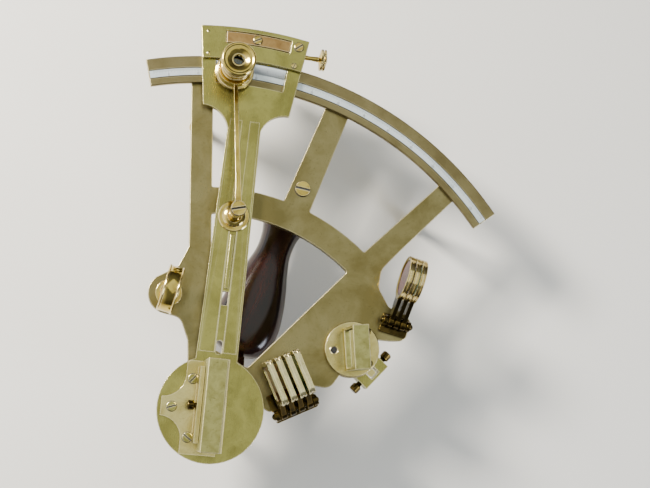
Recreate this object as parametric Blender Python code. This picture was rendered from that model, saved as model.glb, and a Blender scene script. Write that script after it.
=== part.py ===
"""A nautical sextant of the vernier pattern, lying face up on its three legs.

The pivot of the index arm is the Z axis. +Z is square to the frame plate and points out of its
face, +Y runs along the telescope-side bar of the frame, and the resting surface is z = 0. Sizes
are in millimetres and angles in degrees, clockwise from +Y seen from above; every mesh is built
in metres.
"""

import math

import bmesh
import bpy
from mathutils import Matrix, Vector

for old in list(bpy.data.objects):
    bpy.data.objects.remove(old, do_unlink=True)

MM = 0.001
GAP = 0.3  # room left between pieces that touch

# Heights
LEG_HEIGHT = 58.0
PLATE = 4.0
LIMB_THICK = 2.7
ARM_THICK = 3.0
COVER_THICK = 2.0
OPTIC_HEIGHT = 21.5  # line of sight above the frame plate

FRAME_BACK = LEG_HEIGHT
FRAME_TOP = FRAME_BACK + PLATE
LIMB_BACK = FRAME_TOP + GAP
LIMB_TOP = LIMB_BACK + LIMB_THICK
ARM_BACK = LIMB_TOP + GAP
ARM_TOP = ARM_BACK + ARM_THICK
OPTIC_Z = FRAME_TOP + OPTIC_HEIGHT

# Limb and its divided scale
LIMB_OUTER = 198.8
LIMB_WIDTH = 15.7
LIMB_START = -11.2
LIMB_END = 55.5
SCALE_INSET = 4.5  # from the limb's inner edge
SCALE_WIDTH = 4.0
SCALE_DEPTH = 0.6
LIMB_INNER = LIMB_OUTER - LIMB_WIDTH
SCALE_INNER = LIMB_INNER + SCALE_INSET
SCALE_OUTER = SCALE_INNER + SCALE_WIDTH

# Frame plate
CROSSBAR_INNER = 109.0
CROSSBAR_WIDTH = 15.0
CROSSBAR_OUTER = CROSSBAR_INNER + CROSSBAR_WIDTH
LEFT_BAR_WIDTH = 12.3
LEFT_BAR_X = -12.6
MIDDLE_BAR_ANGLE = 22.75
MIDDLE_BAR_WIDTH = 16.0
RIGHT_BAR_ANGLE = 47.4
RIGHT_BAR_WIDTH = 13.4
BAR_LAP = 5.0  # how far each bar reaches under the limb
HUB_RADIUS = 27.5
LOBE_RADIUS = 11.4

# Pivot bearing
AXLE_RADIUS = 5.1
BUSH_RADIUS = 9.0
BUSH_FLANGE_RADIUS = 14.0
CAP_RADIUS = 15.0
CAP_HEIGHT = 12.0

# Index arm
ARM_REST = 6.15
ARM_DISC_RADIUS = 29.1
ARM_ROOT_WIDTH = 22.8
ARM_NECK_WIDTH = 18.8
HEAD_HALF_ANGLE = 8.3
HEAD_HEIGHT = 26.0  # from the shoulders to the outer edge of the window
SHOULDER_RADIUS = 13.4
WINDOW_HALF_ANGLE = 6.0
WINDOW_HEIGHT = 13.2
VERNIER_HEIGHT = 4.5
COVER_HEIGHT = 19.0

# Magnifier
PILLAR_REACH = 107.0
PILLAR_HEIGHT = 21.8
MAGNIFIER_REACH = 81.7
MAGNIFIER_REST = -6.7
MAGNIFIER_RADIUS = 7.6
MAGNIFIER_CLEARANCE = 4.2  # lower rim above the index arm
MAGNIFIER_HEIGHT = 25.6
FOCUS_TRAVEL = 1.5

# Mirrors
INDEX_MIRROR_LENGTH = 48.4
INDEX_MIRROR_HEIGHT = 34.0
INDEX_MIRROR_THICK = 10.2
HORIZON_X = 79.0
HORIZON_Y = 33.5
HORIZON_BASE_RADIUS = 15.6
HORIZON_MIRROR_LENGTH = 24.2
HORIZON_MIRROR_HEIGHT = 27.0
HORIZON_MIRROR_THICK = 8.9
GLASS_THICK = 3.0

# Telescope collar
COLLAR_X = -23.3
COLLAR_Y = 63.7
COLLAR_RADIUS = 13.0
COLLAR_BORE = 10.8
COLLAR_LENGTH = 8.4
STEM_RADIUS = 3.1

# Shades
SHADE_PIN_HEIGHT = 6.0  # pin above the frame plate
SHADE_PIN_RADIUS = 1.3
INDEX_SHADE_COUNT = 4
INDEX_SHADE_SIZE = 25.0
INDEX_SHADE_THICK = 3.6
INDEX_SHADE_PITCH = 5.2
INDEX_SHADE_START = 33.9  # first shade's near face, from the pivot
INDEX_PIN_OFFSET = 17.5  # pin to the side of the ray between the mirrors
HORIZON_SHADE_COUNT = 3
HORIZON_SHADE_RADIUS = 12.5
HORIZON_SHADE_THICK = 3.0
HORIZON_SHADE_PITCH = 3.6
HORIZON_SHADE_START = 14.5  # first shade's near face, from the horizon mirror
HORIZON_PIN_OFFSET = 21.0
HORIZON_SHADE_OUT = 125.0  # how far the horizon shades are swung out at rest

# Handle
HANDLE_ANGLE = 20.2
HANDLE_X = 12.0  # a point under the hub that the handle's axis passes through
HANDLE_Y = 18.0
HANDLE_DEPTH = 34.0  # its centre behind the frame plate
HANDLE_START = 15.0  # lower end, along the axis
HANDLE_LENGTH = 87.0
BRACKET_THICK = 5.0
BRACKET_WIDTH = 10.0
BRACKET_LEAN = 7.5  # how far each strap leans outward on its way up to the frame

# Directions worked out from the places of the mirrors and the collar
RAY_ANGLE = math.degrees(math.atan2(HORIZON_X, HORIZON_Y))
SIGHT_ANGLE = math.degrees(math.atan2(HORIZON_X - COLLAR_X, HORIZON_Y - COLLAR_Y))
MIRROR_ZERO_ANGLE = (RAY_ANGLE + SIGHT_ANGLE) / 2 - 90
READING_AT_REST = 16.6
INDEX_MIRROR_ANGLE = MIRROR_ZERO_ANGLE + READING_AT_REST / 2


# --- Shapes ------------------------------------------------------------------------------

def polar(radius, angle):
    """Point at a radius and a clockwise angle from +Y."""
    return (radius * math.sin(math.radians(angle)), radius * math.cos(math.radians(angle)))


def arc(centre, radius, start, end, steps):
    """Points along a circle, between two clockwise angles from +Y."""
    turns = [start + (end - start) * i / steps for i in range(steps + 1)]
    return [(centre[0] + x, centre[1] + y) for x, y in (polar(radius, a) for a in turns)]


def radial(along, across, angle):
    """Point given along and to the right of a line from the pivot at a clockwise angle."""
    a = math.radians(angle)
    return (along * math.sin(a) + across * math.cos(a), along * math.cos(a) - across * math.sin(a))


def rounded(corners, steps=4):
    """Closed outline from (x, y, fillet radius) corners."""
    outline = []
    count = len(corners)
    for i, (x, y, radius) in enumerate(corners):
        here = Vector((x, y))
        if radius <= 0:
            outline.append((x, y))
            continue
        before = (Vector(corners[i - 1][:2]) - here).normalized()
        after = (Vector(corners[(i + 1) % count][:2]) - here).normalized()
        half = before.angle(after) / 2
        reach = radius / math.tan(half)
        centre = here + (before + after).normalized() * (radius / math.sin(half))
        first = here + before * reach - centre
        last = here + after * reach - centre
        turn = first.angle_signed(last)
        for step in range(steps + 1):
            spoke = first.copy()
            spoke.rotate(Matrix.Rotation(-turn * step / steps, 2))
            outline.append(tuple(centre + spoke))
    return outline


def sharp(points):
    return [(x, y, 0) for x, y in points]


def circle(radius, centre=(0, 0), steps=24):
    return arc(centre, radius, 0, 360 - 360 / steps, steps - 1)


def rectangle(width, height, radius=0, centre=(0, 0)):
    left, right = centre[0] - width / 2, centre[0] + width / 2
    low, high = centre[1] - height / 2, centre[1] + height / 2
    return rounded([(x, y, radius) for x, y in ((left, low), (right, low), (right, high), (left, high))])


def prism(outline, low, high, holes=()):
    """Plate with straight sides between two heights; the holes go right through it."""
    mesh = bmesh.new()
    edges = []
    for ring in (outline, *holes):
        corners = [mesh.verts.new((x * MM, y * MM, low * MM)) for x, y in ring]
        edges += [mesh.edges.new((corners[i - 1], corners[i])) for i in range(len(corners))]
    if holes:
        bmesh.ops.triangle_fill(mesh, use_beauty=True, edges=edges)
    else:
        bmesh.ops.contextual_create(mesh, geom=edges)
    grown = bmesh.ops.extrude_face_region(mesh, geom=mesh.faces[:])
    lifted = [item for item in grown["geom"] if isinstance(item, bmesh.types.BMVert)]
    bmesh.ops.translate(mesh, verts=lifted, vec=(0, 0, (high - low) * MM))
    bmesh.ops.recalc_face_normals(mesh, faces=mesh.faces[:])
    return mesh


def box(width, depth, low, high, centre=(0, 0), radius=0):
    return prism(rectangle(width, depth, radius, centre), low, high)


def bridge(mesh, first, second):
    for i in range(len(first)):
        mesh.faces.new((first[i - 1], first[i], second[i], second[i - 1]))


def turned(profile, steps=28, closed=False):
    """Solid of revolution about Z from (radius, height) points; closed joins last to first."""
    mesh = bmesh.new()
    rings = []
    for radius, height in profile:
        if radius == 0:
            rings.append([mesh.verts.new((0, 0, height * MM))])
        else:
            ring = circle(radius, steps=steps)
            rings.append([mesh.verts.new((x * MM, y * MM, height * MM)) for x, y in ring])
    pairs = list(zip(rings, rings[1:]))
    if closed:
        pairs.append((rings[-1], rings[0]))
    for first, second in pairs:
        if len(first) == 1:
            for i in range(len(second)):
                mesh.faces.new((first[0], second[i], second[i - 1]))
        elif len(second) == 1:
            for i in range(len(first)):
                mesh.faces.new((first[i - 1], first[i], second[0]))
        else:
            bridge(mesh, first, second)
    bmesh.ops.recalc_face_normals(mesh, faces=mesh.faces[:])
    return mesh


def swept(section, start, end, steps=12):
    """Bar that follows the limb: a closed (radius, height) section between two angles."""
    mesh = bmesh.new()
    rings = []
    for step in range(steps + 1):
        angle = start + (end - start) * step / steps
        places = [polar(radius, angle) for radius, height in section]
        rings.append([mesh.verts.new((x * MM, y * MM, h * MM)) for (x, y), (r, h) in zip(places, section)])
    for first, second in zip(rings, rings[1:]):
        bridge(mesh, first, second)
    mesh.faces.new(rings[0])
    mesh.faces.new(rings[-1])
    bmesh.ops.recalc_face_normals(mesh, faces=mesh.faces[:])
    return mesh


def lofted(sections):
    """Solid through closed rings of 3-D points, with flat ends."""
    mesh = bmesh.new()
    rings = [[mesh.verts.new(Vector(point) * MM) for point in ring] for ring in sections]
    for first, second in zip(rings, rings[1:]):
        bridge(mesh, first, second)
    mesh.faces.new(rings[0])
    mesh.faces.new(rings[-1])
    bmesh.ops.recalc_face_normals(mesh, faces=mesh.faces[:])
    return mesh


def turn_mesh(mesh, matrix):
    bmesh.ops.transform(mesh, matrix=matrix, verts=mesh.verts[:])
    return mesh


def shift(x, y, z):
    return Matrix.Translation(Vector((x, y, z)) * MM)


def lay_along_y(mesh, at=(0, 0, 0)):
    """Turns a shape made about Z so that its axis points along +Y, and moves it to a place."""
    return turn_mesh(mesh, shift(*at) @ Matrix.Rotation(math.radians(-90), 4, "X"))


def lay_along_x(mesh, at=(0, 0, 0)):
    """Turns a shape made about Z so that its axis points along +X, and moves it to a place."""
    return turn_mesh(mesh, shift(*at) @ Matrix.Rotation(math.radians(90), 4, "Y"))


# --- Materials ---------------------------------------------------------------------------

def material(name, colour, metallic, roughness, alpha=1.0):
    made = bpy.data.materials.new(name)
    made.use_nodes = True
    shader = made.node_tree.nodes["Principled BSDF"]
    shader.inputs["Base Color"].default_value = (*colour, 1.0)
    shader.inputs["Metallic"].default_value = metallic
    shader.inputs["Roughness"].default_value = roughness
    shader.inputs["Alpha"].default_value = alpha
    made.diffuse_color = (*colour, alpha)
    return made


FRAME_BRASS = material("frame_brass", (0.42, 0.36, 0.20), 1.0, 0.38)
ARM_BRASS = material("lacquered_brass", (0.50, 0.44, 0.17), 1.0, 0.28)
POLISHED_BRASS = material("polished_brass", (0.62, 0.50, 0.20), 1.0, 0.15)
SILVER = material("scale_silver", (0.70, 0.74, 0.76), 1.0, 0.25)
COPPER = material("copper_strip", (0.62, 0.38, 0.24), 1.0, 0.35)
DARK_BRONZE = material("bronzed_brass", (0.10, 0.085, 0.04), 1.0, 0.30)
MIRROR = material("silvered_glass", (0.85, 0.87, 0.88), 1.0, 0.03)
CLEAR_GLASS = material("lens_glass", (0.80, 0.86, 0.84), 0.0, 0.05, 0.35)
SHADE_GLASS = material("shade_glass", (0.05, 0.09, 0.06), 0.0, 0.05, 0.6)
MAHOGANY = material("mahogany", (0.10, 0.025, 0.012), 0.0, 0.25)


# --- Assembly ----------------------------------------------------------------------------

def axis_empty(name, at, angle=0.0, parent=None):
    """Empty on a joint's axis; its own +Y points at a clockwise angle from its parent's."""
    empty = bpy.data.objects.new(name, None)
    bpy.context.collection.objects.link(empty)
    empty.parent = parent
    empty.location = Vector(at) * MM
    empty.rotation_euler = (0, 0, math.radians(-angle))
    return empty


def add(name, mesh, finish, parent=None, smooth=True):
    """Puts a mesh into the scene as a named piece in its parent's frame."""
    data = bpy.data.meshes.new(name)
    mesh.to_mesh(data)
    mesh.free()
    if smooth:
        data.shade_smooth()
        data.set_sharp_from_angle(angle=math.radians(35))
    data.materials.append(finish)
    piece = bpy.data.objects.new(name, data)
    bpy.context.collection.objects.link(piece)
    piece.parent = parent
    return piece


def combine(piece, other_mesh, operation):
    """Boolean of a piece with another mesh, which stays in the scene as a hidden guide."""
    data = bpy.data.meshes.new("guide")
    other_mesh.to_mesh(data)
    other_mesh.free()
    guide = bpy.data.objects.new("guide_of_" + piece.name, data)
    bpy.context.collection.objects.link(guide)
    guide.parent = piece.parent
    guide.hide_render = True
    guide.display_type = "WIRE"
    change = piece.modifiers.new(operation.lower(), "BOOLEAN")
    change.operation = operation
    change.object = guide
    change.solver = "EXACT"


def cut(piece, mesh):
    combine(piece, mesh, "DIFFERENCE")


def join(piece, mesh):
    combine(piece, mesh, "UNION")


def slotted_head(radius, low, high, shaft_radius=0.0, shaft_low=0.0, slot=0.9):
    """Cheese-head screw about Z: a head with a screwdriver slot, and a plain shaft under it."""
    rim = 0.4
    half_turn = math.degrees(math.asin(slot / 2 / radius))
    depth = (high - low) * 0.45
    profile = [(0, low)]
    if shaft_radius:
        profile = [(0, shaft_low), (shaft_radius, shaft_low), (shaft_radius, low)]
    mesh = turned(profile + [(radius, low), (radius, high - depth), (0, high - depth)], steps=20)
    halves = []
    for side in (0, 180):
        edge = arc((0, 0), radius - rim / 2, side + half_turn, side + 180 - half_turn, 8)
        halves.append(prism(edge, high - depth, high))
    return mesh, halves


def add_screw(name, finish, parent, at, **sizes):
    """Slotted screw standing at a place in its parent's frame."""
    body, halves = slotted_head(**sizes)
    turn_mesh(body, shift(*at, 0))
    screw = add(name, body, finish, parent)
    for half in halves:
        turn_mesh(half, shift(*at, -0.05))
        join(screw, half)
    return screw


# --- Frame, limb and legs ----------------------------------------------------------------

bar_end = LIMB_INNER + BAR_LAP
hub_left = -math.degrees(math.asin(-(LEFT_BAR_X + 0.3) / HUB_RADIUS))
lobe_centre = (COLLAR_X, COLLAR_Y)
horizon = (HORIZON_X, HORIZON_Y)


def along_ray(along, across):
    """Point along, and to the right of, the ray from the index mirror to the horizon mirror."""
    return radial(along, across, RAY_ANGLE)


def along_sight(along, across):
    """Point beyond the horizon mirror along the line of sight, and to the left of it."""
    x, y = radial(along, -across, SIGHT_ANGLE)
    return (HORIZON_X + x, HORIZON_Y + y)


def bar(angle, width):
    """The four corners of a radial bar, from the crossbar out under the limb and back."""
    foot = math.sqrt(CROSSBAR_OUTER ** 2 - (width / 2) ** 2)
    tip = width / 2 * 0.9
    return [
        (*radial(foot, -width / 2, angle), 0.8),
        (*radial(bar_end, -tip, angle), 0),
        (*radial(bar_end, tip, angle), 0),
        (*radial(foot, width / 2, angle), 0.8),
    ]


def crossbar_arc(start, end, radius, steps):
    """Points of the crossbar's edge strictly between two angles."""
    return sharp(arc((0, 0), radius, start, end, steps)[1:-1])


left_edge = LEFT_BAR_X
right_edge = LEFT_BAR_X + LEFT_BAR_WIDTH
middle_half = math.degrees(math.asin(MIDDLE_BAR_WIDTH / 2 / CROSSBAR_OUTER))
right_half = math.degrees(math.asin(RIGHT_BAR_WIDTH / 2 / CROSSBAR_OUTER))
lug_low = INDEX_SHADE_START - 4
right_bar = bar(RIGHT_BAR_ANGLE, RIGHT_BAR_WIDTH)
right_bar[3] = (*radial(140.0, RIGHT_BAR_WIDTH / 2, RIGHT_BAR_ANGLE), 8)

frame_outline = rounded(
    [
        (left_edge, math.sqrt(bar_end ** 2 - left_edge ** 2), 0),
        (right_edge, bar_end, 0),
        (right_edge, CROSSBAR_OUTER, 0.8),
    ]
    + crossbar_arc(0, MIDDLE_BAR_ANGLE - middle_half, CROSSBAR_OUTER, 6)
    + bar(MIDDLE_BAR_ANGLE, MIDDLE_BAR_WIDTH)
    + crossbar_arc(MIDDLE_BAR_ANGLE + middle_half, RIGHT_BAR_ANGLE - right_half, CROSSBAR_OUTER, 6)
    + right_bar
    + [
        (*along_sight(4.0, 48.5), 9),
        (*along_sight(5.5, 38.0), 7),
        (*along_sight(14.0, 29.5), 3),
        (*along_sight(28.5, 26.5), 4),
        (*along_sight(28.5, 13.5), 5),
        (*along_sight(20.5, 11.0), 3),
    ]
    + sharp(arc(horizon, HORIZON_BASE_RADIUS + 0.4, 70, 205, 12))
    + [
        (*along_ray(66.0, 15.5), 6),
        (*along_ray(INDEX_SHADE_START + 21.5, 8.5), 2),
        (*along_ray(lug_low, 14.5), 2),
    ]
    + sharp(arc((0, 0), HUB_RADIUS, 86, 360 + hub_left, 24))
    + [
        (left_edge, 38.0, 5),
        (*polar(53.0, -18.5), 6),
    ]
    + sharp(arc(lobe_centre, LOBE_RADIUS, 190, 322, 12))
    + [
        (left_edge - 6.0, 78.5, 5),
        (left_edge, 90.0, 6),
    ]
)
window_outline = rounded(
    [
        (right_edge, CROSSBAR_INNER, 1.5),
        (right_edge, 34.0, 6),
        (*polar(HUB_RADIUS + 3, 20), 6),
        (*polar(HUB_RADIUS + 3, 42), 2),
        (*polar(CROSSBAR_INNER, 44.8), 1.5),
    ]
    + sharp(arc((0, 0), CROSSBAR_INNER, 43.5, 1.5, 14))
)
screw_place = radial(113.2, 0, HANDLE_ANGLE)
handle_screw = (HANDLE_X + screw_place[0], HANDLE_Y + screw_place[1])
add(
    "frame",
    prism(
        frame_outline,
        FRAME_BACK,
        FRAME_TOP,
        [
            window_outline,
            circle(BUSH_RADIUS + GAP, steps=32),
            circle(STEM_RADIUS + 1.8, lobe_centre),
            circle(4.3, horizon, 20),
            circle(2.6, handle_screw, 16),
        ],
    ),
    FRAME_BRASS,
)

groove = SCALE_DEPTH + 0.2
edge = 0.5
limb_section = [
    (LIMB_INNER, LIMB_BACK),
    (LIMB_OUTER, LIMB_BACK),
    (LIMB_OUTER, LIMB_TOP - edge),
    (LIMB_OUTER - edge, LIMB_TOP),
    (SCALE_OUTER + GAP, LIMB_TOP),
    (SCALE_OUTER + GAP, LIMB_TOP - groove),
    (SCALE_INNER - GAP, LIMB_TOP - groove),
    (SCALE_INNER - GAP, LIMB_TOP),
    (LIMB_INNER + edge, LIMB_TOP),
    (LIMB_INNER, LIMB_TOP - edge),
]
add("limb", swept(limb_section, LIMB_START, LIMB_END, 40), FRAME_BRASS)

scale_base = LIMB_TOP - groove + GAP
scale_section = [
    (SCALE_INNER, scale_base),
    (SCALE_OUTER, scale_base),
    (SCALE_OUTER, LIMB_TOP),
    (SCALE_INNER, LIMB_TOP),
]
add("arc_scale", swept(scale_section, LIMB_START + 0.2, LIMB_END - 0.2, 40), SILVER)

LEG_FOOT = 4.4
LEG_FLANGE = 5.6
LEG_SHIFT = 0.8  # both outer legs stand a little off their bars' middle lines


def leg_profile(top):
    """Turned leg from the resting surface to the piece that it screws into."""
    return [
        (0, 0), (LEG_FOOT - 1, 0), (LEG_FOOT, 1), (LEG_FOOT, 3), (3.2, 5.5), (2.8, top * 0.5),
            (3.4, top - 9),
        (4.6, top - 6), (LEG_FLANGE, top - 4.5), (LEG_FLANGE, top), (0, top),
    ]


leg_top = FRAME_BACK - GAP
leg_radius = LIMB_INNER - 11
left_leg_place = ((left_edge + right_edge) / 2 + LEG_SHIFT, leg_radius)
right_leg_place = radial(leg_radius, LEG_SHIFT, RIGHT_BAR_ANGLE)
for name, place in (("left_leg", left_leg_place), ("right_leg", right_leg_place)):
    add(name, turn_mesh(turned(leg_profile(leg_top), 20), shift(*place, 0)), POLISHED_BRASS)

cap_low = FRAME_BACK - CAP_HEIGHT
add("pivot_foot", turned(leg_profile(cap_low - GAP), 20), POLISHED_BRASS)
add(
    "bearing_cap",
    turned(
        [
            (0, cap_low), (CAP_RADIUS - 1, cap_low), (CAP_RADIUS, cap_low + 1),
            (CAP_RADIUS, FRAME_BACK - GAP),
            (CAP_RADIUS - 2.5, FRAME_BACK - GAP), (CAP_RADIUS - 2.5, cap_low + 2.5), (0, cap_low + 2.5),
        ],
        32,
    ),
    POLISHED_BRASS,
)
bush_low = FRAME_BACK - 3.5
add(
    "pivot_bush",
    turned(
        [
            (AXLE_RADIUS + GAP, bush_low), (BUSH_RADIUS, bush_low), (BUSH_RADIUS, LIMB_BACK),
            (BUSH_FLANGE_RADIUS, LIMB_BACK), (BUSH_FLANGE_RADIUS, LIMB_TOP), (AXLE_RADIUS + GAP, LIMB_TOP),
        ],
        32,
        closed=True,
    ),
    POLISHED_BRASS,
)


# --- Handle ------------------------------------------------------------------------------

handle_axis = axis_empty("handle_axis", (HANDLE_X, HANDLE_Y, 0), HANDLE_ANGLE)
handle_z = FRAME_BACK - HANDLE_DEPTH
HANDLE_STATIONS = [  # share of the length, half width, half thickness
    (0.0, 8.0, 7.0), (0.03, 13.0, 9.6), (0.09, 17.3, 11.8), (0.22, 19.6, 13.0), (0.37, 18.3, 13.0),
    (0.50, 15.8, 12.2), (0.62, 12.8, 11.0), (0.74, 10.5, 9.8), (0.85, 10.8, 9.6), (0.94, 12.8, 10.2),
    (1.0, 12.6, 10.0),
]


def grip_ring(share, half_width, half_thick, steps=20):
    """Rounded-square ring of the grip across its axis."""
    ring = []
    for i in range(steps):
        turn = 2 * math.pi * i / steps
        across = half_width * math.copysign(abs(math.cos(turn)) ** 0.85, math.cos(turn))
        up = half_thick * math.copysign(abs(math.sin(turn)) ** 0.85, math.sin(turn))
        ring.append((across, HANDLE_START + HANDLE_LENGTH * share, handle_z + up))
    return ring


add("handle_grip", lofted([grip_ring(*station) for station in HANDLE_STATIONS]), MAHOGANY, handle_axis)

bracket_top = FRAME_BACK - GAP
bracket_low = handle_z - 9
grip_top = handle_z + 12
FLANGE_THICK = 3.0


def bracket(inner, outer):
    """Strap with a post against the grip's end and a flange under the frame plate, leaning outward."""
    away = 1 if outer > inner else -1
    back = inner + away * BRACKET_THICK
    lean = away * BRACKET_LEAN
    outline = rounded(
        [
            (inner, bracket_low, 1),
            (back, bracket_low, 1),
            (back, grip_top, 4),
            (back + lean, bracket_top - FLANGE_THICK, 2),
            (outer, bracket_top - FLANGE_THICK, 0.5),
            (outer, bracket_top, 0),
            (inner + lean, bracket_top, 0),
            (inner, grip_top, 4),
        ]
    )
    mesh = prism(outline, -BRACKET_WIDTH / 2, BRACKET_WIDTH / 2)
    upright = Matrix(((0, 0, 1, 0), (1, 0, 0, 0), (0, 1, 0, 0), (0, 0, 0, 1)))
    return turn_mesh(mesh, upright)


grip_end = HANDLE_START + HANDLE_LENGTH
add("handle_lower_bracket", bracket(HANDLE_START - GAP, HANDLE_START - 16), POLISHED_BRASS, handle_axis)
add("handle_upper_bracket", bracket(grip_end + GAP, grip_end + 19), POLISHED_BRASS, handle_axis)
add_screw(
    "handle_frame_screw", FRAME_BRASS, None, handle_screw,
    radius=4.3, low=FRAME_TOP + GAP, high=FRAME_TOP + 1.8, shaft_radius=2.2, shaft_low=FRAME_BACK,
)


# --- Telescope collar --------------------------------------------------------------------

collar_axis = axis_empty("collar_axis", (COLLAR_X, COLLAR_Y, 0), SIGHT_ANGLE)
socket_low = FRAME_BACK - 14
stem_bore = STEM_RADIUS + GAP
add(
    "collar_socket",
    turned(
        [
            (stem_bore, socket_low), (STEM_RADIUS + 1.5, socket_low), (STEM_RADIUS + 1.5, LIMB_BACK),
            (7.4, LIMB_BACK), (7.4, FRAME_TOP + 2.0), (stem_bore, FRAME_TOP + 2.0),
        ],
        24,
        closed=True,
    ),
    POLISHED_BRASS,
    collar_axis,
)
ring_half = COLLAR_LENGTH / 2
collar_ring = turned(
    [
        (COLLAR_BORE, -ring_half), (COLLAR_RADIUS, -ring_half), (COLLAR_RADIUS, ring_half),
        (COLLAR_BORE, ring_half),
    ],
    36,
    closed=True,
)
stem_low = FRAME_BACK - 28
collar = add("telescope_collar", lay_along_y(collar_ring, (0, 0, OPTIC_Z)), POLISHED_BRASS, collar_axis)
stem_top = OPTIC_Z - COLLAR_RADIUS + 1.2
shoulder = OPTIC_Z - COLLAR_RADIUS - 1.5
stem_profile = [
    (0, stem_low), (STEM_RADIUS, stem_low), (STEM_RADIUS, shoulder), (4.0, stem_top), (0, stem_top),
]
join(collar, turned(stem_profile, 24))
nut_high = socket_low - GAP
NUT_THICK = 6.0
NUT_RADIUS = 8.0


def knurled(radius, depth, low, high, bore=0.0, count=24):
    """Milled disc: an outline of shallow teeth, with an optional bore."""
    teeth = [polar(radius - depth * (i % 2), 180 * i / count) for i in range(2 * count)]
    return prism(teeth, low, high, [circle(bore)] if bore else ())


add(
    "collar_nut",
    knurled(NUT_RADIUS, 0.5, nut_high - NUT_THICK, nut_high, stem_bore),
    POLISHED_BRASS,
    axis_empty("collar_nut_axis", (COLLAR_X, COLLAR_Y, 0)),
)


# --- Index arm ---------------------------------------------------------------------------

arm_axis = axis_empty("index_arm_axis", (0, 0, 0), ARM_REST)
window_outer = SCALE_OUTER + GAP + VERNIER_HEIGHT - 0.6
window_inner = window_outer - WINDOW_HEIGHT
shoulder_u = window_outer - HEAD_HEIGHT
cover_inner = window_outer + GAP
cover_outer = cover_inner + COVER_HEIGHT
tail_outer = cover_outer - 1.3
root_angle = math.degrees(math.asin(ARM_ROOT_WIDTH / 2 / ARM_DISC_RADIUS))
head_corner = polar(shoulder_u, HEAD_HALF_ANGLE)
bite = (head_corner[0] - 0.4, head_corner[1] - SHOULDER_RADIUS)
bite_points = arc(bite, SHOULDER_RADIUS, -80, 0, 8)
bite_width = bite_points[0][0]
neck_half = ARM_NECK_WIDTH / 2
right_side = (
    [(neck_half, bite_points[0][1] - 4)]
    + [(x - (bite_width - neck_half) * (8 - i) / 8, y) for i, (x, y) in enumerate(bite_points)]
    + [head_corner]
)
left_side = [(-x, y) for x, y in right_side]
arm_outline = (
    arc((0, 0), ARM_DISC_RADIUS, root_angle, 360 - root_angle, 44)
    + left_side
    + arc((0, 0), tail_outer, -HEAD_HALF_ANGLE, HEAD_HALF_ANGLE, 10)
    + right_side[::-1]
)
window_ring = (
    arc((0, 0), window_inner, -WINDOW_HALF_ANGLE, WINDOW_HALF_ANGLE, 8)
    + arc((0, 0), window_outer, WINDOW_HALF_ANGLE, -WINDOW_HALF_ANGLE, 8)
)
SLOT_WIDTH = 3.4
upper_slot = rectangle(SLOT_WIDTH, 7.5, 0, (0.6, 61.0))
lower_slot = rectangle(SLOT_WIDTH, 7.5, 1.4, (0.6, 34.0))
add(
    "index_arm",
    prism(
        arm_outline,
        ARM_BACK,
        ARM_TOP,
        [window_ring, circle(AXLE_RADIUS + GAP, steps=28), upper_slot, lower_slot],
    ),
    ARM_BRASS,
    arm_axis,
)
rib_base = ARM_TOP + GAP
add("arm_rib", box(2.6, 30.5, rib_base, rib_base + 1.1, (0.6, 81.5), 0.6), ARM_BRASS, arm_axis)

vernier_inner = SCALE_OUTER - 0.6
vernier_base = ARM_BACK
vernier_span = WINDOW_HALF_ANGLE - 0.12
vernier_section = [
    (vernier_inner, vernier_base),
    (window_outer - GAP, vernier_base),
    (window_outer - GAP, ARM_TOP - 0.2),
    (vernier_inner + 3.2, ARM_TOP - 0.2),
    (vernier_inner, vernier_base + 0.4),
]
add("vernier_plate", swept(vernier_section, -vernier_span, vernier_span, 10), SILVER, arm_axis)

cover_base = ARM_TOP + GAP
cover_top = cover_base + COVER_THICK
strip_inner, strip_outer = cover_inner + 9.6, cover_inner + 16.0
strip_start, strip_end = -4.4, 5.6
strip_edge = math.degrees(GAP / strip_outer)


def sector(inner, outer, start, end, steps=8):
    return arc((0, 0), inner, start, end, steps) + arc((0, 0), outer, end, start, steps)


add(
    "clamp_cover",
    prism(
        sector(cover_inner, cover_outer, -HEAD_HALF_ANGLE, HEAD_HALF_ANGLE, 10),
        cover_base,
        cover_top,
        [sector(strip_inner - GAP, strip_outer + GAP, strip_start - strip_edge, strip_end + strip_edge)],
    ),
    ARM_BRASS,
    arm_axis,
)
add(
    "clamp_spring",
    prism(sector(strip_inner, strip_outer, strip_start, strip_end), cover_base, cover_top - 0.2),
    COPPER,
    arm_axis,
)
axle_low = bush_low - 5
nut_top = bush_low - GAP
add(
    "pivot_axle",
    turned(
        [
            (0, axle_low), (2.4, axle_low), (2.4, bush_low + 0.2), (AXLE_RADIUS, bush_low + 1),
            (AXLE_RADIUS, ARM_TOP), (0, ARM_TOP),
        ],
        28,
    ),
    POLISHED_BRASS,
    arm_axis,
)
add(
    "pivot_nut",
    prism(circle(6.5, steps=6), nut_top - 3.4, nut_top, [circle(2.4 + GAP, steps=18)]),
    POLISHED_BRASS,
    arm_axis,
)


# --- Index mirror ------------------------------------------------------------------------

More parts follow.
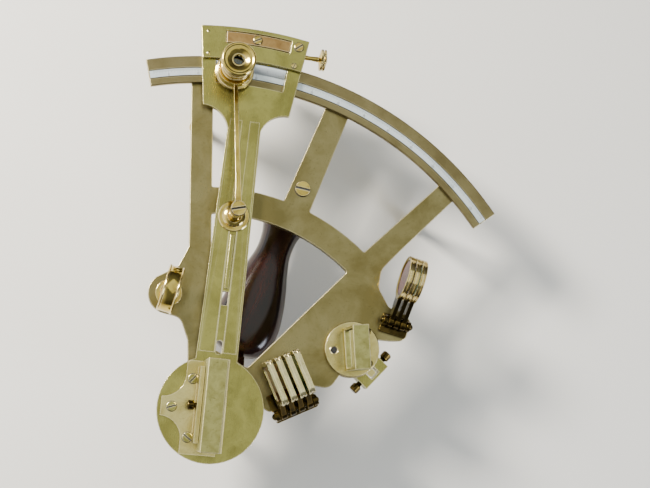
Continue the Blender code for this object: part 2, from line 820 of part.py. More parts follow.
index_mirror_axis = axis_empty("index_mirror_axis", (0, 0, 0), INDEX_MIRROR_ANGLE - ARM_REST, arm_axis)
base_low = ARM_TOP + GAP
base_high = base_low + 2.0
mirror_low = base_high + GAP
mirror_high = mirror_low + INDEX_MIRROR_HEIGHT
MIRROR_SHIFT = 2.0  # the mirror's middle, along itself, past the pivot
mirror_back = -INDEX_MIRROR_THICK * 0.6
mirror_front = mirror_back + INDEX_MIRROR_THICK
mirror_middle = (mirror_back + mirror_front) / 2
half_length = INDEX_MIRROR_LENGTH / 2
foot_left = -15.0
foot_end = MIRROR_SHIFT + half_length - 0.6
foot_start = MIRROR_SHIFT - half_length - 2.6
SCALLOP = 12.0
base_outline = (
    [(4.6, foot_start), (4.6, foot_end), (foot_left + 1.5, foot_end), (foot_left, foot_end - 1.5)]
    + arc((foot_left - SCALLOP, 17.2), SCALLOP, 90, 180, 7)
    + arc((foot_left - SCALLOP, -17.2), SCALLOP, 0, 90, 7)
    + [(foot_left, foot_start)]
)
index_base_plate = prism(base_outline, base_low, base_high)
index_base = add("index_mirror_base", index_base_plate, ARM_BRASS, index_mirror_axis)
wall_right = mirror_back - GAP
wall_left = wall_right - 2.4
wall_high = base_high + 17.0
join(
    index_base,
    box(
        wall_right - wall_left, INDEX_MIRROR_LENGTH - 8, base_high - 0.6, wall_high,
        ((wall_left + wall_right) / 2, MIRROR_SHIFT),
    ),
)
ADJUSTER_Z = base_high + 9.5
ADJUSTER_PLACE = 1.5
adjuster_hole = turned([(0, -4), (1.9, -4), (1.9, 4), (0, 4)], 16)
cut(index_base, lay_along_x(adjuster_hole, (wall_left + 1.2, ADJUSTER_PLACE, ADJUSTER_Z)))

index_frame = add(
    "index_mirror_frame",
    box(INDEX_MIRROR_THICK, INDEX_MIRROR_LENGTH, mirror_low, mirror_high, (mirror_middle, MIRROR_SHIFT)),
    ARM_BRASS,
    index_mirror_axis,
)
glass_back = mirror_front - GLASS_THICK - 0.5
glass_front = glass_back + GLASS_THICK
LIP = 1.6
cut(
    index_frame,
    box(
        GLASS_THICK + 3, INDEX_MIRROR_LENGTH - 2 * LIP, mirror_low + LIP, mirror_high - LIP,
        (glass_back - GAP + (GLASS_THICK + 3) / 2, MIRROR_SHIFT),
    ),
)
add(
    "index_mirror_glass",
    box(
        GLASS_THICK, INDEX_MIRROR_LENGTH - 2 * LIP - 2 * GAP,
        mirror_low + LIP + GAP, mirror_high - LIP - GAP,
        ((glass_back + glass_front) / 2, MIRROR_SHIFT),
    ),
    MIRROR,
    index_mirror_axis,
)
adjuster_axis = axis_empty("index_adjuster_axis", (0, ADJUSTER_PLACE, ADJUSTER_Z), 0, index_mirror_axis)
add(
    "index_mirror_adjuster",
    lay_along_x(
        turned(
            [
                (0, wall_left - 4.6), (2.0, wall_left - 4.6), (2.5, wall_left - 4.1),
                (2.5, wall_left - 1.0),
                (1.5, wall_left - 0.6), (1.5, wall_right - 0.1), (0, wall_right - 0.1),
            ],
            16,
        )
    ),
    POLISHED_BRASS,
    adjuster_axis,
)


# --- Magnifier ---------------------------------------------------------------------------

pillar_low = ARM_TOP + GAP
pillar_high = pillar_low + PILLAR_HEIGHT
PILLAR_RADIUS = 3.3
SPIGOT_RADIUS = 1.6
add(
    "magnifier_pillar",
    turn_mesh(
        turned(
            [
                (0, pillar_low), (8.8, pillar_low), (8.8, pillar_low + 1.6), (7.6, pillar_low + 2.4),
                (4.4, pillar_low + 3.4), (PILLAR_RADIUS, pillar_low + 5), (PILLAR_RADIUS, pillar_high - 4),
                (4.2, pillar_high - 2), (4.2, pillar_high), (SPIGOT_RADIUS, pillar_high),
                (SPIGOT_RADIUS, pillar_high + 4.4), (0, pillar_high + 4.4),
            ],
            24,
        ),
        shift(0, PILLAR_REACH, 0),
    ),
    POLISHED_BRASS,
    arm_axis,
)
magnifier_axis = axis_empty("magnifier_axis", (0, PILLAR_REACH, 0), MAGNIFIER_REST, arm_axis)
hub_low = pillar_high + GAP
hub_high = hub_low + 4.0
holder_outer = MAGNIFIER_RADIUS + 2.2
rim_radius = MAGNIFIER_RADIUS + 3.2
tube_low = ARM_TOP + MAGNIFIER_CLEARANCE
rim_high = tube_low + 2.0
holder_low = rim_high + FOCUS_TRAVEL + 0.5
holder_high = holder_low + 4.5
cup_high = tube_low + MAGNIFIER_HEIGHT
cup_low = cup_high - 4.6
tube_high = cup_low - GAP
magnifier_arm = add(
    "magnifier_arm",
    turned(
        [
            (SPIGOT_RADIUS + GAP, hub_low), (4.2, hub_low), (4.2, hub_high),
            (SPIGOT_RADIUS + GAP, hub_high),
        ],
        24,
        closed=True,
    ),
    POLISHED_BRASS,
    magnifier_axis,
)
join(
    magnifier_arm,
    turn_mesh(
        turned(
            [
                (MAGNIFIER_RADIUS + GAP, holder_low), (holder_outer, holder_low),
                (holder_outer, holder_high),
                (MAGNIFIER_RADIUS + GAP, holder_high),
            ],
            28,
            closed=True,
        ),
        shift(0, MAGNIFIER_REACH, 0),
    ),
)
blade_end = MAGNIFIER_REACH - MAGNIFIER_RADIUS - 1.4


def blade_ring(reach, half_width, low, high):
    """Square section of the magnifier's arm at a distance from its pivot."""
    corners = ((-half_width, low), (half_width, low), (half_width, high), (-half_width, high))
    return [(across, reach, height) for across, height in corners]


blade = lofted(
    [
        blade_ring(3.2, 1.9, hub_low + 0.4, hub_high - 0.4),
        blade_ring(14.0, 1.5, hub_low - 0.2, hub_high - 0.8),
        blade_ring(blade_end, 1.1, holder_low + 0.8, holder_high - 0.8),
    ]
)
join(magnifier_arm, blade)
add_screw(
    "magnifier_pivot_screw", POLISHED_BRASS, arm_axis, (0, PILLAR_REACH),
    radius=4.0, low=pillar_high + 4.7, high=pillar_high + 6.6,
)
focus_axis = axis_empty("magnifier_focus_axis", (0, MAGNIFIER_REACH, 0), 0, magnifier_axis)
tube_bore = MAGNIFIER_RADIUS - 1.2
barrel_low = holder_high + FOCUS_TRAVEL + 0.5
barrel_radius = MAGNIFIER_RADIUS + 0.7
add(
    "magnifier_tube",
    turned(
        [
            (tube_bore, tube_low), (rim_radius - 0.6, tube_low), (rim_radius, tube_low + 0.6),
            (rim_radius, rim_high - 0.4), (rim_radius - 0.8, rim_high),
            (MAGNIFIER_RADIUS, rim_high), (MAGNIFIER_RADIUS, barrel_low),
            (barrel_radius, barrel_low), (barrel_radius, tube_high), (tube_bore, tube_high),
        ],
        32,
        closed=True,
    ),
    POLISHED_BRASS,
    focus_axis,
)
add(
    "magnifier_eyepiece",
    turned(
        [
            (2.7, cup_low), (barrel_radius, cup_low), (MAGNIFIER_RADIUS + 1.8, cup_low + 0.9),
            (MAGNIFIER_RADIUS + 1.8, cup_high - 1.2), (MAGNIFIER_RADIUS + 1.0, cup_high),
            (6.4, cup_high - 0.4), (2.7, cup_high - 2.4),
        ],
        32,
        closed=True,
    ),
    POLISHED_BRASS,
    focus_axis,
)
LENS_EDGE = 0.8
add(
    "magnifier_lens",
    turned(
        [
            (0, tube_low + 2.0), (4.0, tube_low + 2.3), (tube_bore - GAP, tube_low + 3.2),
            (tube_bore - GAP, tube_low + 3.2 + LENS_EDGE), (4.0, tube_low + 4.9), (0, tube_low + 5.2),
        ],
        24,
    ),
    CLEAR_GLASS,
    focus_axis,
)


# --- Clamp and tangent screw -------------------------------------------------------------

CLAMP_HALF_ANGLE = 4.4
CLAMP_CLEAR = 0.6
jaw_inner = bar_end + 1.4
jaw_top = LIMB_BACK - CLAMP_CLEAR
jaw_low = jaw_top - 5.7
block_outer = cover_outer - 2.0
clamp_axis = axis_empty("clamp_axis", (0, 0, 0), 0, arm_axis)
clamp_section = [
    (jaw_inner, jaw_low),
    (block_outer, jaw_low),
    (block_outer, ARM_BACK - GAP),
    (LIMB_OUTER + CLAMP_CLEAR, ARM_BACK - GAP),
    (LIMB_OUTER + CLAMP_CLEAR, jaw_top),
    (jaw_inner, jaw_top),
]
clamp_mesh = swept(clamp_section, -CLAMP_HALF_ANGLE, CLAMP_HALF_ANGLE, 6)
clamp = add("clamp_block", clamp_mesh, ARM_BRASS, clamp_axis)
tangent_u = (LIMB_OUTER + CLAMP_CLEAR + block_outer) / 2
TANGENT_Z = ARM_BACK - 4.6
TANGENT_RADIUS = 1.6
bearing_v = 25.5
BEARING_WIDTH = 4.0
head_v = 39.5
HEAD_THICK = 3.0
HEAD_RADIUS = 6.2
cut(
    clamp,
    lay_along_x(
        turned([(0, -20), (TANGENT_RADIUS + GAP, -20), (TANGENT_RADIUS + GAP, 20), (0, 20)], 16),
        (0, tangent_u, TANGENT_Z),
    ),
)
bearing = add(
    "tangent_bearing",
    box(BEARING_WIDTH, 8.0, TANGENT_Z - 4.6, ARM_BACK - GAP, (bearing_v, tangent_u - 0.6)),
    ARM_BRASS,
    arm_axis,
)
cut(
    bearing,
    lay_along_x(
        turned([(0, -5), (TANGENT_RADIUS + GAP, -5), (TANGENT_RADIUS + GAP, 5), (0, 5)], 16),
        (bearing_v, tangent_u, TANGENT_Z),
    ),
)
tangent_axis = axis_empty("tangent_screw_axis", (0, tangent_u, TANGENT_Z), 0, arm_axis)
collar_start = bearing_v + BEARING_WIDTH / 2 + GAP
tangent_screw = add(
    "tangent_screw",
    lay_along_x(
        turned(
            [
                (0, -14), (TANGENT_RADIUS, -14), (TANGENT_RADIUS, collar_start),
                (2.8, collar_start), (2.8, collar_start + 1.6), (TANGENT_RADIUS, collar_start + 1.6),
                (TANGENT_RADIUS, head_v + HEAD_THICK + 1), (0, head_v + HEAD_THICK + 1),
            ],
            16,
        )
    ),
    POLISHED_BRASS,
    tangent_axis,
)
join(tangent_screw, lay_along_x(knurled(HEAD_RADIUS, 0.45, head_v, head_v + HEAD_THICK, count=22)))
thumb_axis = axis_empty("clamp_screw_axis", (0, tangent_u, 0), 0, clamp_axis)
thumb_high = jaw_low - GAP
thumb_low = thumb_high - 18
clamp_screw = add(
    "clamp_screw",
    turned(
        [
            (0, thumb_low), (5.8, thumb_low), (6.6, thumb_low + 0.8), (6.6, thumb_low + 1.4),
            (3.0, thumb_low + 7), (2.0, thumb_low + 9), (2.0, thumb_high), (0, thumb_high),
        ],
        20,
    ),
    POLISHED_BRASS,
    thumb_axis,
)
join(clamp_screw, knurled(7.6, 0.45, thumb_low + 1.2, thumb_low + 5.2, count=22))


# --- Horizon mirror ----------------------------------------------------------------------

horizon_axis = axis_empty("horizon_mirror_axis", (HORIZON_X, HORIZON_Y, 0), MIRROR_ZERO_ANGLE)
disc_low = FRAME_TOP + GAP
disc_high = LIMB_TOP
spindle_low = FRAME_BACK - 6.0
BLOCK_ANGLE = 134.5 - MIRROR_ZERO_ANGLE
BLOCK_REACH = 18.2
TAIL_WIDTH = 4.0
horizon_base = add(
    "horizon_mirror_base",
    turned(
        [
            (0, spindle_low), (4.0, spindle_low), (4.0, disc_low), (HORIZON_BASE_RADIUS, disc_low),
            (HORIZON_BASE_RADIUS, disc_high - 0.4), (HORIZON_BASE_RADIUS - 0.4, disc_high), (0, disc_high),
        ],
        36,
    ),
    ARM_BRASS,
    horizon_axis,
)
tail_half = TAIL_WIDTH / 2
tail_outline = rounded([(2, -tail_half, 0), (2, tail_half, 0), (20, tail_half, 1), (20, -tail_half, 1)])
tail_mesh = prism(tail_outline, spindle_low + 0.4, spindle_low + 3.4)
join(horizon_base, turn_mesh(tail_mesh, Matrix.Rotation(math.radians(90 - BLOCK_ANGLE), 4, "Z")))

horizon_low = disc_high + GAP
horizon_high = horizon_low + HORIZON_MIRROR_HEIGHT
horizon_frame = add(
    "horizon_mirror_frame",
    box(HORIZON_MIRROR_THICK, HORIZON_MIRROR_LENGTH, horizon_low, horizon_high),
    ARM_BRASS,
    horizon_axis,
)
POCKET_FLOOR = 0.6
pocket_depth = 6.0
horizon_glass_front = POCKET_FLOOR - GAP
cut(
    horizon_frame,
    box(
        pocket_depth, HORIZON_MIRROR_LENGTH - 2 * LIP, horizon_low + LIP, horizon_high - LIP,
        (POCKET_FLOOR - pocket_depth / 2, 0),
    ),
)
cut(
    horizon_frame,
    box(
        HORIZON_MIRROR_THICK * 2, HORIZON_MIRROR_LENGTH - 4 * LIP, OPTIC_Z - 4, horizon_high - 2 * LIP,
        (0, 0),
    ),
)
add(
    "horizon_mirror_glass",
    box(
        GLASS_THICK, HORIZON_MIRROR_LENGTH - 2 * LIP - 2 * GAP,
        horizon_low + LIP + GAP, horizon_high - LIP - GAP,
        (horizon_glass_front - GLASS_THICK / 2, 0),
    ),
    MIRROR,
    horizon_axis,
)

TAIL_Z = spindle_low + 1.9
block_axis = axis_empty(
    "horizon_adjuster_axis", (HORIZON_X, HORIZON_Y, TAIL_Z), MIRROR_ZERO_ANGLE + BLOCK_ANGLE
)
BLOCK_LENGTH = 17.7
BLOCK_HEIGHT = 7.7
SLOT_ROOM = 1.0
block_inner = BLOCK_REACH - 7.0
block_outer_face = BLOCK_REACH + 4.0
slot_half = TAIL_WIDTH / 2 + SLOT_ROOM
block_half = BLOCK_LENGTH / 2
block_outline = [
    (-block_half, block_inner), (-slot_half, block_inner), (-slot_half, BLOCK_REACH + 2.4),
    (slot_half, BLOCK_REACH + 2.4), (slot_half, block_inner), (block_half, block_inner),
    (block_half, block_outer_face), (-block_half, block_outer_face),
]
block_top = FRAME_BACK - GAP - TAIL_Z
adjuster_block = add(
    "horizon_adjuster_block",
    prism(block_outline, block_top - BLOCK_HEIGHT, block_top),
    ARM_BRASS,
    block_axis,
)
CAPSTAN_RADIUS = 1.4
cut(
    adjuster_block,
    lay_along_x(
        turned([(0, -12), (CAPSTAN_RADIUS + GAP, -12), (CAPSTAN_RADIUS + GAP, 12), (0, 12)], 16),
        (0, BLOCK_REACH - 0.6, 0),
    ),
)
tip = slot_half - GAP
capstan_profile = [
    (0, tip), (CAPSTAN_RADIUS, tip), (CAPSTAN_RADIUS, block_half + 1.6), (2.75, block_half + 2.2),
    (2.75, block_half + 5.4), (2.2, block_half + 6.0), (0, block_half + 6.0),
]
for name, way in (("horizon_adjuster_screw_1", 1), ("horizon_adjuster_screw_2", -1)):
    screw_axis = axis_empty(name + "_axis", (0, BLOCK_REACH - 0.6, 0), 0, block_axis)
    screw_mesh = lay_along_x(turned(capstan_profile, 14))
    if way < 0:
        turn_mesh(screw_mesh, Matrix.Rotation(math.pi, 4, "Z"))
    add(name, screw_mesh, DARK_BRONZE, screw_axis)


# --- Shades ------------------------------------------------------------------------------

PIN_Z = FRAME_TOP + SHADE_PIN_HEIGHT
SHADE_HUB_RADIUS = 3.0
SHADE_BORE = SHADE_PIN_RADIUS + GAP
FOOT_THICK = 2.0
EAR = 2.4


def upright(mesh, along):
    """Stands an outline drawn as (across, height) square to the shades' pin, at a place along it."""
    stand = Matrix(((1, 0, 0, 0), (0, 0, 1, along * MM), (0, 1, 0, 0), (0, 0, 0, 1)))
    turn_mesh(mesh, stand)
    bmesh.ops.recalc_face_normals(mesh, faces=mesh.faces[:])
    return mesh


def shade_bracket(name, parent, start, end, inner, outer):
    """Foot on the frame plate with two ears that hold the shades' pin."""
    foot_low = FRAME_TOP + GAP - PIN_Z
    foot_high = foot_low + FOOT_THICK
    middle = ((inner + outer) / 2, (start + end) / 2)
    foot = box(outer - inner, end - start + 2 * EAR, foot_low, foot_high, middle, 1.0)
    piece = add(name, foot, FRAME_BRASS, parent)
    ear_foot = [(-SHADE_HUB_RADIUS, foot_high - 0.6), (SHADE_HUB_RADIUS, foot_high - 0.6)]
    ear_outline = ear_foot + arc((0, 0), SHADE_HUB_RADIUS, 90, -90, 8)
    for low in (start - EAR, end):
        join(piece, upright(prism(ear_outline, 0, EAR, [circle(SHADE_BORE, steps=14)]), low))
    return piece


def add_pin(name, parent, start, end):
    profile = [
        (0, start - EAR - 0.6), (SHADE_PIN_RADIUS, start - EAR - 0.6), (SHADE_PIN_RADIUS, end + EAR + 0.6),
        (0, end + EAR + 0.6),
    ]
    add(name, lay_along_y(turned(profile, 14)), POLISHED_BRASS, parent)


# The index shades stand in the ray between the mirrors, on a pin to the right of it.
index_pin = axis_empty("index_shade_axis", (*along_ray(0, INDEX_PIN_OFFSET), PIN_Z), RAY_ANGLE)
index_stack = (INDEX_SHADE_COUNT - 1) * INDEX_SHADE_PITCH + INDEX_SHADE_THICK
stack_start = INDEX_SHADE_START - 0.6
stack_end = INDEX_SHADE_START + index_stack + 0.6
shade_bracket("index_shade_bracket", index_pin, stack_start, stack_end, -12.0, 4.0)
add_pin("index_shade_pin", index_pin, stack_start, stack_end)
shade_low = OPTIC_Z - INDEX_SHADE_SIZE / 2 - PIN_Z
shade_high = shade_low + INDEX_SHADE_SIZE
shade_left = -INDEX_PIN_OFFSET - INDEX_SHADE_SIZE / 2
shade_right = shade_left + INDEX_SHADE_SIZE
SHADE_RIM = 2.4
shade_outline = rounded(
    [
        (shade_left, shade_low, 2.5), (shade_right - 1.0, shade_low, 2.0), (-2.6, -1.5, 0),
        (0.5, -SHADE_HUB_RADIUS, 1.5), (SHADE_HUB_RADIUS, -0.5, 1.5), (2.2, 2.2, 0),
        (shade_right, shade_low + 8.0, 3.0), (shade_right, shade_high, 2.5), (shade_left, shade_high, 2.5),
    ]
)
pane_place = (-INDEX_PIN_OFFSET, OPTIC_Z - PIN_Z)
opening_size = INDEX_SHADE_SIZE - 2 * SHADE_RIM
pane_size = opening_size - 2 * GAP
opening = rectangle(opening_size, opening_size, 2.0, pane_place)
pane = rectangle(pane_size, pane_size, 1.7, pane_place)
PANE_THICK = 1.8
for number in range(INDEX_SHADE_COUNT):
    near = INDEX_SHADE_START + number * INDEX_SHADE_PITCH
    frame_mesh = prism(shade_outline, 0, INDEX_SHADE_THICK, [opening, circle(SHADE_BORE, steps=14)])
    add(f"index_shade_{number + 1}", upright(frame_mesh, near), ARM_BRASS, index_pin)
    inset = near + (INDEX_SHADE_THICK - PANE_THICK) / 2
    index_pane = upright(prism(pane, 0, PANE_THICK), inset)
    add(f"index_shade_glass_{number + 1}", index_pane, SHADE_GLASS, index_pin)

# The horizon shades hang on a pin to the left of the line of sight, and are swung out of it.
horizon_pin = axis_empty("horizon_shade_axis", (*along_sight(0, HORIZON_PIN_OFFSET), PIN_Z), SIGHT_ANGLE)
horizon_stack = (HORIZON_SHADE_COUNT - 1) * HORIZON_SHADE_PITCH + HORIZON_SHADE_THICK
far_start = HORIZON_SHADE_START - 0.5
far_end = HORIZON_SHADE_START + horizon_stack + 0.5
shade_bracket("horizon_shade_bracket", horizon_pin, far_start, far_end, -4.5, 6.5)
add_pin("horizon_shade_pin", horizon_pin, far_start, far_end)
reach = math.hypot(HORIZON_PIN_OFFSET, OPTIC_Z - PIN_Z)
tilt = math.radians(HORIZON_SHADE_OUT) - math.atan2(HORIZON_PIN_OFFSET, OPTIC_Z - PIN_Z)
disc_centre = (-reach * math.sin(tilt), reach * math.cos(tilt))
ring_gap = math.degrees(math.asin(3.4 / HORIZON_SHADE_RADIUS))
toward_pin = math.degrees(math.atan2(-disc_centre[0], -disc_centre[1]))
shade_ring = arc(disc_centre, HORIZON_SHADE_RADIUS, toward_pin + ring_gap, toward_pin + 360 - ring_gap, 32)
hub_ring = arc((0, 0), SHADE_HUB_RADIUS, toward_pin - 100, toward_pin + 100, 10)
for number in range(HORIZON_SHADE_COUNT):
    near = HORIZON_SHADE_START + number * HORIZON_SHADE_PITCH
    frame_mesh = prism(
        shade_ring + hub_ring,
        0,
        HORIZON_SHADE_THICK,
        [circle(HORIZON_SHADE_RADIUS - SHADE_RIM, disc_centre, 28), circle(SHADE_BORE, steps=14)],
    )
    add(f"horizon_shade_{number + 1}", upright(frame_mesh, near), DARK_BRONZE, horizon_pin)
    inset = near + (HORIZON_SHADE_THICK - PANE_THICK) / 2
    pane_ring = circle(HORIZON_SHADE_RADIUS - SHADE_RIM - GAP, disc_centre, 28)
    pane_mesh = upright(prism(pane_ring, 0, PANE_THICK), inset)
    add(f"horizon_shade_glass_{number + 1}", pane_mesh, SHADE_GLASS, horizon_pin)
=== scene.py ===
import math

import bmesh
import bpy
from mathutils import Matrix, Vector


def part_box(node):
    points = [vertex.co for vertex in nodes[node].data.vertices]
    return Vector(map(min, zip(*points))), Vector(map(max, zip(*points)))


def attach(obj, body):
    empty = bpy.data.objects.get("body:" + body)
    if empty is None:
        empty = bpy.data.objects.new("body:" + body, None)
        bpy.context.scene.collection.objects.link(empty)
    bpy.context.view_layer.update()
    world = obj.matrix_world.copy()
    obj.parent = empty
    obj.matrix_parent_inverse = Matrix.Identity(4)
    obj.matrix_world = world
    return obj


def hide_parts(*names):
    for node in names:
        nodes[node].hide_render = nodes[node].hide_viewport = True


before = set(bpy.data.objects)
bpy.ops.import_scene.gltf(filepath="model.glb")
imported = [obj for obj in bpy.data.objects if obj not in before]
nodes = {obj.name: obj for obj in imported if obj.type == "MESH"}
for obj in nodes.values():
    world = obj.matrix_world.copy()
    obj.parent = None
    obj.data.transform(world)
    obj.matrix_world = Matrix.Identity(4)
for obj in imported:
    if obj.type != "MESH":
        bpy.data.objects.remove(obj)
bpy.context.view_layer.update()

# --- Table top --------------------------------------------------------------------------------
# The instrument stands on a painted board: a pale matt emulsion, rolled on. The roller leaves a
# shallow stipple about 3 mm across, which the eye reads as a soft, even grey-white.


def linear(hex_colour):
    """Linear colour of an sRGB hex value."""
    channels = [int(hex_colour[i:i + 2], 16) / 255 for i in (1, 3, 5)]
    return (*[c / 12.92 if c <= 0.04045 else ((c + 0.055) / 1.055) ** 2.4 for c in channels], 1.0)


def add_node(material, kind, links=(), **settings):
    """Adds a node: its settings, then its inputs, each a (socket, value or another's output)."""
    node = material.node_tree.nodes.new(kind)
    for key, value in settings.items():
        setattr(node, key, value)
    for socket, value in links:
        if isinstance(value, bpy.types.NodeSocket):
            material.node_tree.links.new(value, node.inputs[socket])
        else:
            node.inputs[socket].default_value = value
    return node


def new_material(name, **constants):
    """A material with constants on its shader's sockets; returns it, its shader and its place."""
    material = bpy.data.materials.new(name)
    material.use_nodes = True
    shader = material.node_tree.nodes["Principled BSDF"]
    for socket, value in constants.items():
        shader.inputs[socket.replace("_", " ")].default_value = value
    place = add_node(material, "ShaderNodeTexCoord").outputs["Object"]
    return material, shader, place


def feed(material, shader, **sources):
    """Links outputs to the shader's sockets."""
    for socket, source in sources.items():
        material.node_tree.links.new(source, shader.inputs[socket.replace("_", " ")])


MM = 0.001
matt_paint, shader, place = new_material("matt emulsion, rolled", Roughness=0.75)
stipple = add_node(
    matt_paint, "ShaderNodeTexNoise", [("Vector", place), ("Scale", 1 / (3 * MM)), ("Detail", 2.0)]
)
cloud = add_node(
    matt_paint, "ShaderNodeTexNoise", [("Vector", place), ("Scale", 1 / (400 * MM)), ("Detail", 1.0)]
)
tone = add_node(
    matt_paint, "ShaderNodeMix",
    [(0, cloud.outputs["Fac"]), (6, linear("#E9E7E2")), (7, linear("#DEDCD7"))],
    data_type="RGBA",
)
relief = add_node(
    matt_paint, "ShaderNodeBump",
    [("Height", stipple.outputs["Fac"]), ("Strength", 0.15), ("Distance", 0.2 * MM)]
)
feed(matt_paint, shader, Base_Color=tone.outputs[2], Normal=relief.outputs["Normal"])

floor_mesh = bmesh.new()
bmesh.ops.create_grid(floor_mesh, x_segments=8, y_segments=8, size=3.0)
floor_data = bpy.data.meshes.new("floor")
floor_mesh.to_mesh(floor_data)
floor_mesh.free()
floor_data.materials.append(matt_paint)
floor = bpy.data.objects.new("floor", floor_data)
bpy.context.scene.collection.objects.link(floor)

# --- Light and camera -------------------------------------------------------------------------
# The room is dark with one white wall on the left, which gives the white glints along the brass
# edges. A panel high on the left casts soft shadows, and one overhead lifts the upward faces.

room = bpy.data.worlds.new("studio")
room.use_nodes = True
toward = add_node(room, "ShaderNodeTexCoord").outputs["Generated"]
heading = add_node(room, "ShaderNodeSeparateXYZ", [("Vector", toward)])
rise = add_node(
    room, "ShaderNodeMapRange", [("Value", heading.outputs["Z"]), ("From Min", 0.1), ("From Max", 0.8)],
    interpolation_type="SMOOTHSTEP",
)
leftward = add_node(
    room, "ShaderNodeMapRange", [("Value", heading.outputs["X"]), ("From Min", -0.25), ("From Max", -0.8)],
    interpolation_type="SMOOTHSTEP",
)
dark_walls = add_node(
    room, "ShaderNodeMix", [(0, rise.outputs[0]), (6, linear("#77746F")), (7, linear("#C6CBCF"))],
    data_type="RGBA",
)
walls = add_node(
    room, "ShaderNodeMix", [(0, leftward.outputs[0]), (6, dark_walls.outputs[2]), (7, linear("#FFFFFF"))],
    data_type="RGBA",
)
glow = add_node(
    room, "ShaderNodeMapRange", [("Value", leftward.outputs[0]), ("To Min", 0.34), ("To Max", 1.7)]
)
room_air = room.node_tree.nodes["Background"]
room.node_tree.links.new(walls.outputs[2], room_air.inputs["Color"])
room.node_tree.links.new(glow.outputs[0], room_air.inputs["Strength"])
bpy.context.scene.world = room


def softbox(name, place_mm, aim_mm, size_mm, watts, colour):
    """Square area light that faces a point."""
    light = bpy.data.lights.new(name, "AREA")
    light.shape = "SQUARE"
    light.size = size_mm * MM
    light.energy = watts
    light.color = linear(colour)[:3]
    holder = bpy.data.objects.new(name, light)
    holder.location = Vector(place_mm) * MM
    holder.rotation_euler = (Vector(aim_mm) - Vector(place_mm)).to_track_quat("-Z", "Y").to_euler()
    bpy.context.scene.collection.objects.link(holder)


middle = (63.0, 93.0, 62.0)
softbox("key", (-620, 520, 700), middle, 240, 30, "#FFF9EE")
softbox("overhead", (280, 280, 1400), middle, 1400, 5.6, "#FAFFF2")
softbox("rim", (700, -420, 420), middle, 300, 4, "#EAF2FF")

lens = bpy.data.cameras.new("camera")
lens.lens = 66.0
lens.clip_start = 0.01
camera = bpy.data.objects.new("camera", lens)
camera.location = Vector((-50.46, -0.78, 720.76)) * MM
back = (camera.location - Vector((64.0, 93.0, 62.0)) * MM).normalized()
across = Vector((0, 1, 0)).cross(back).normalized()
camera.rotation_euler = Matrix((across, back.cross(across), back)).transposed().to_euler()
bpy.context.scene.collection.objects.link(camera)
bpy.context.scene.camera = camera
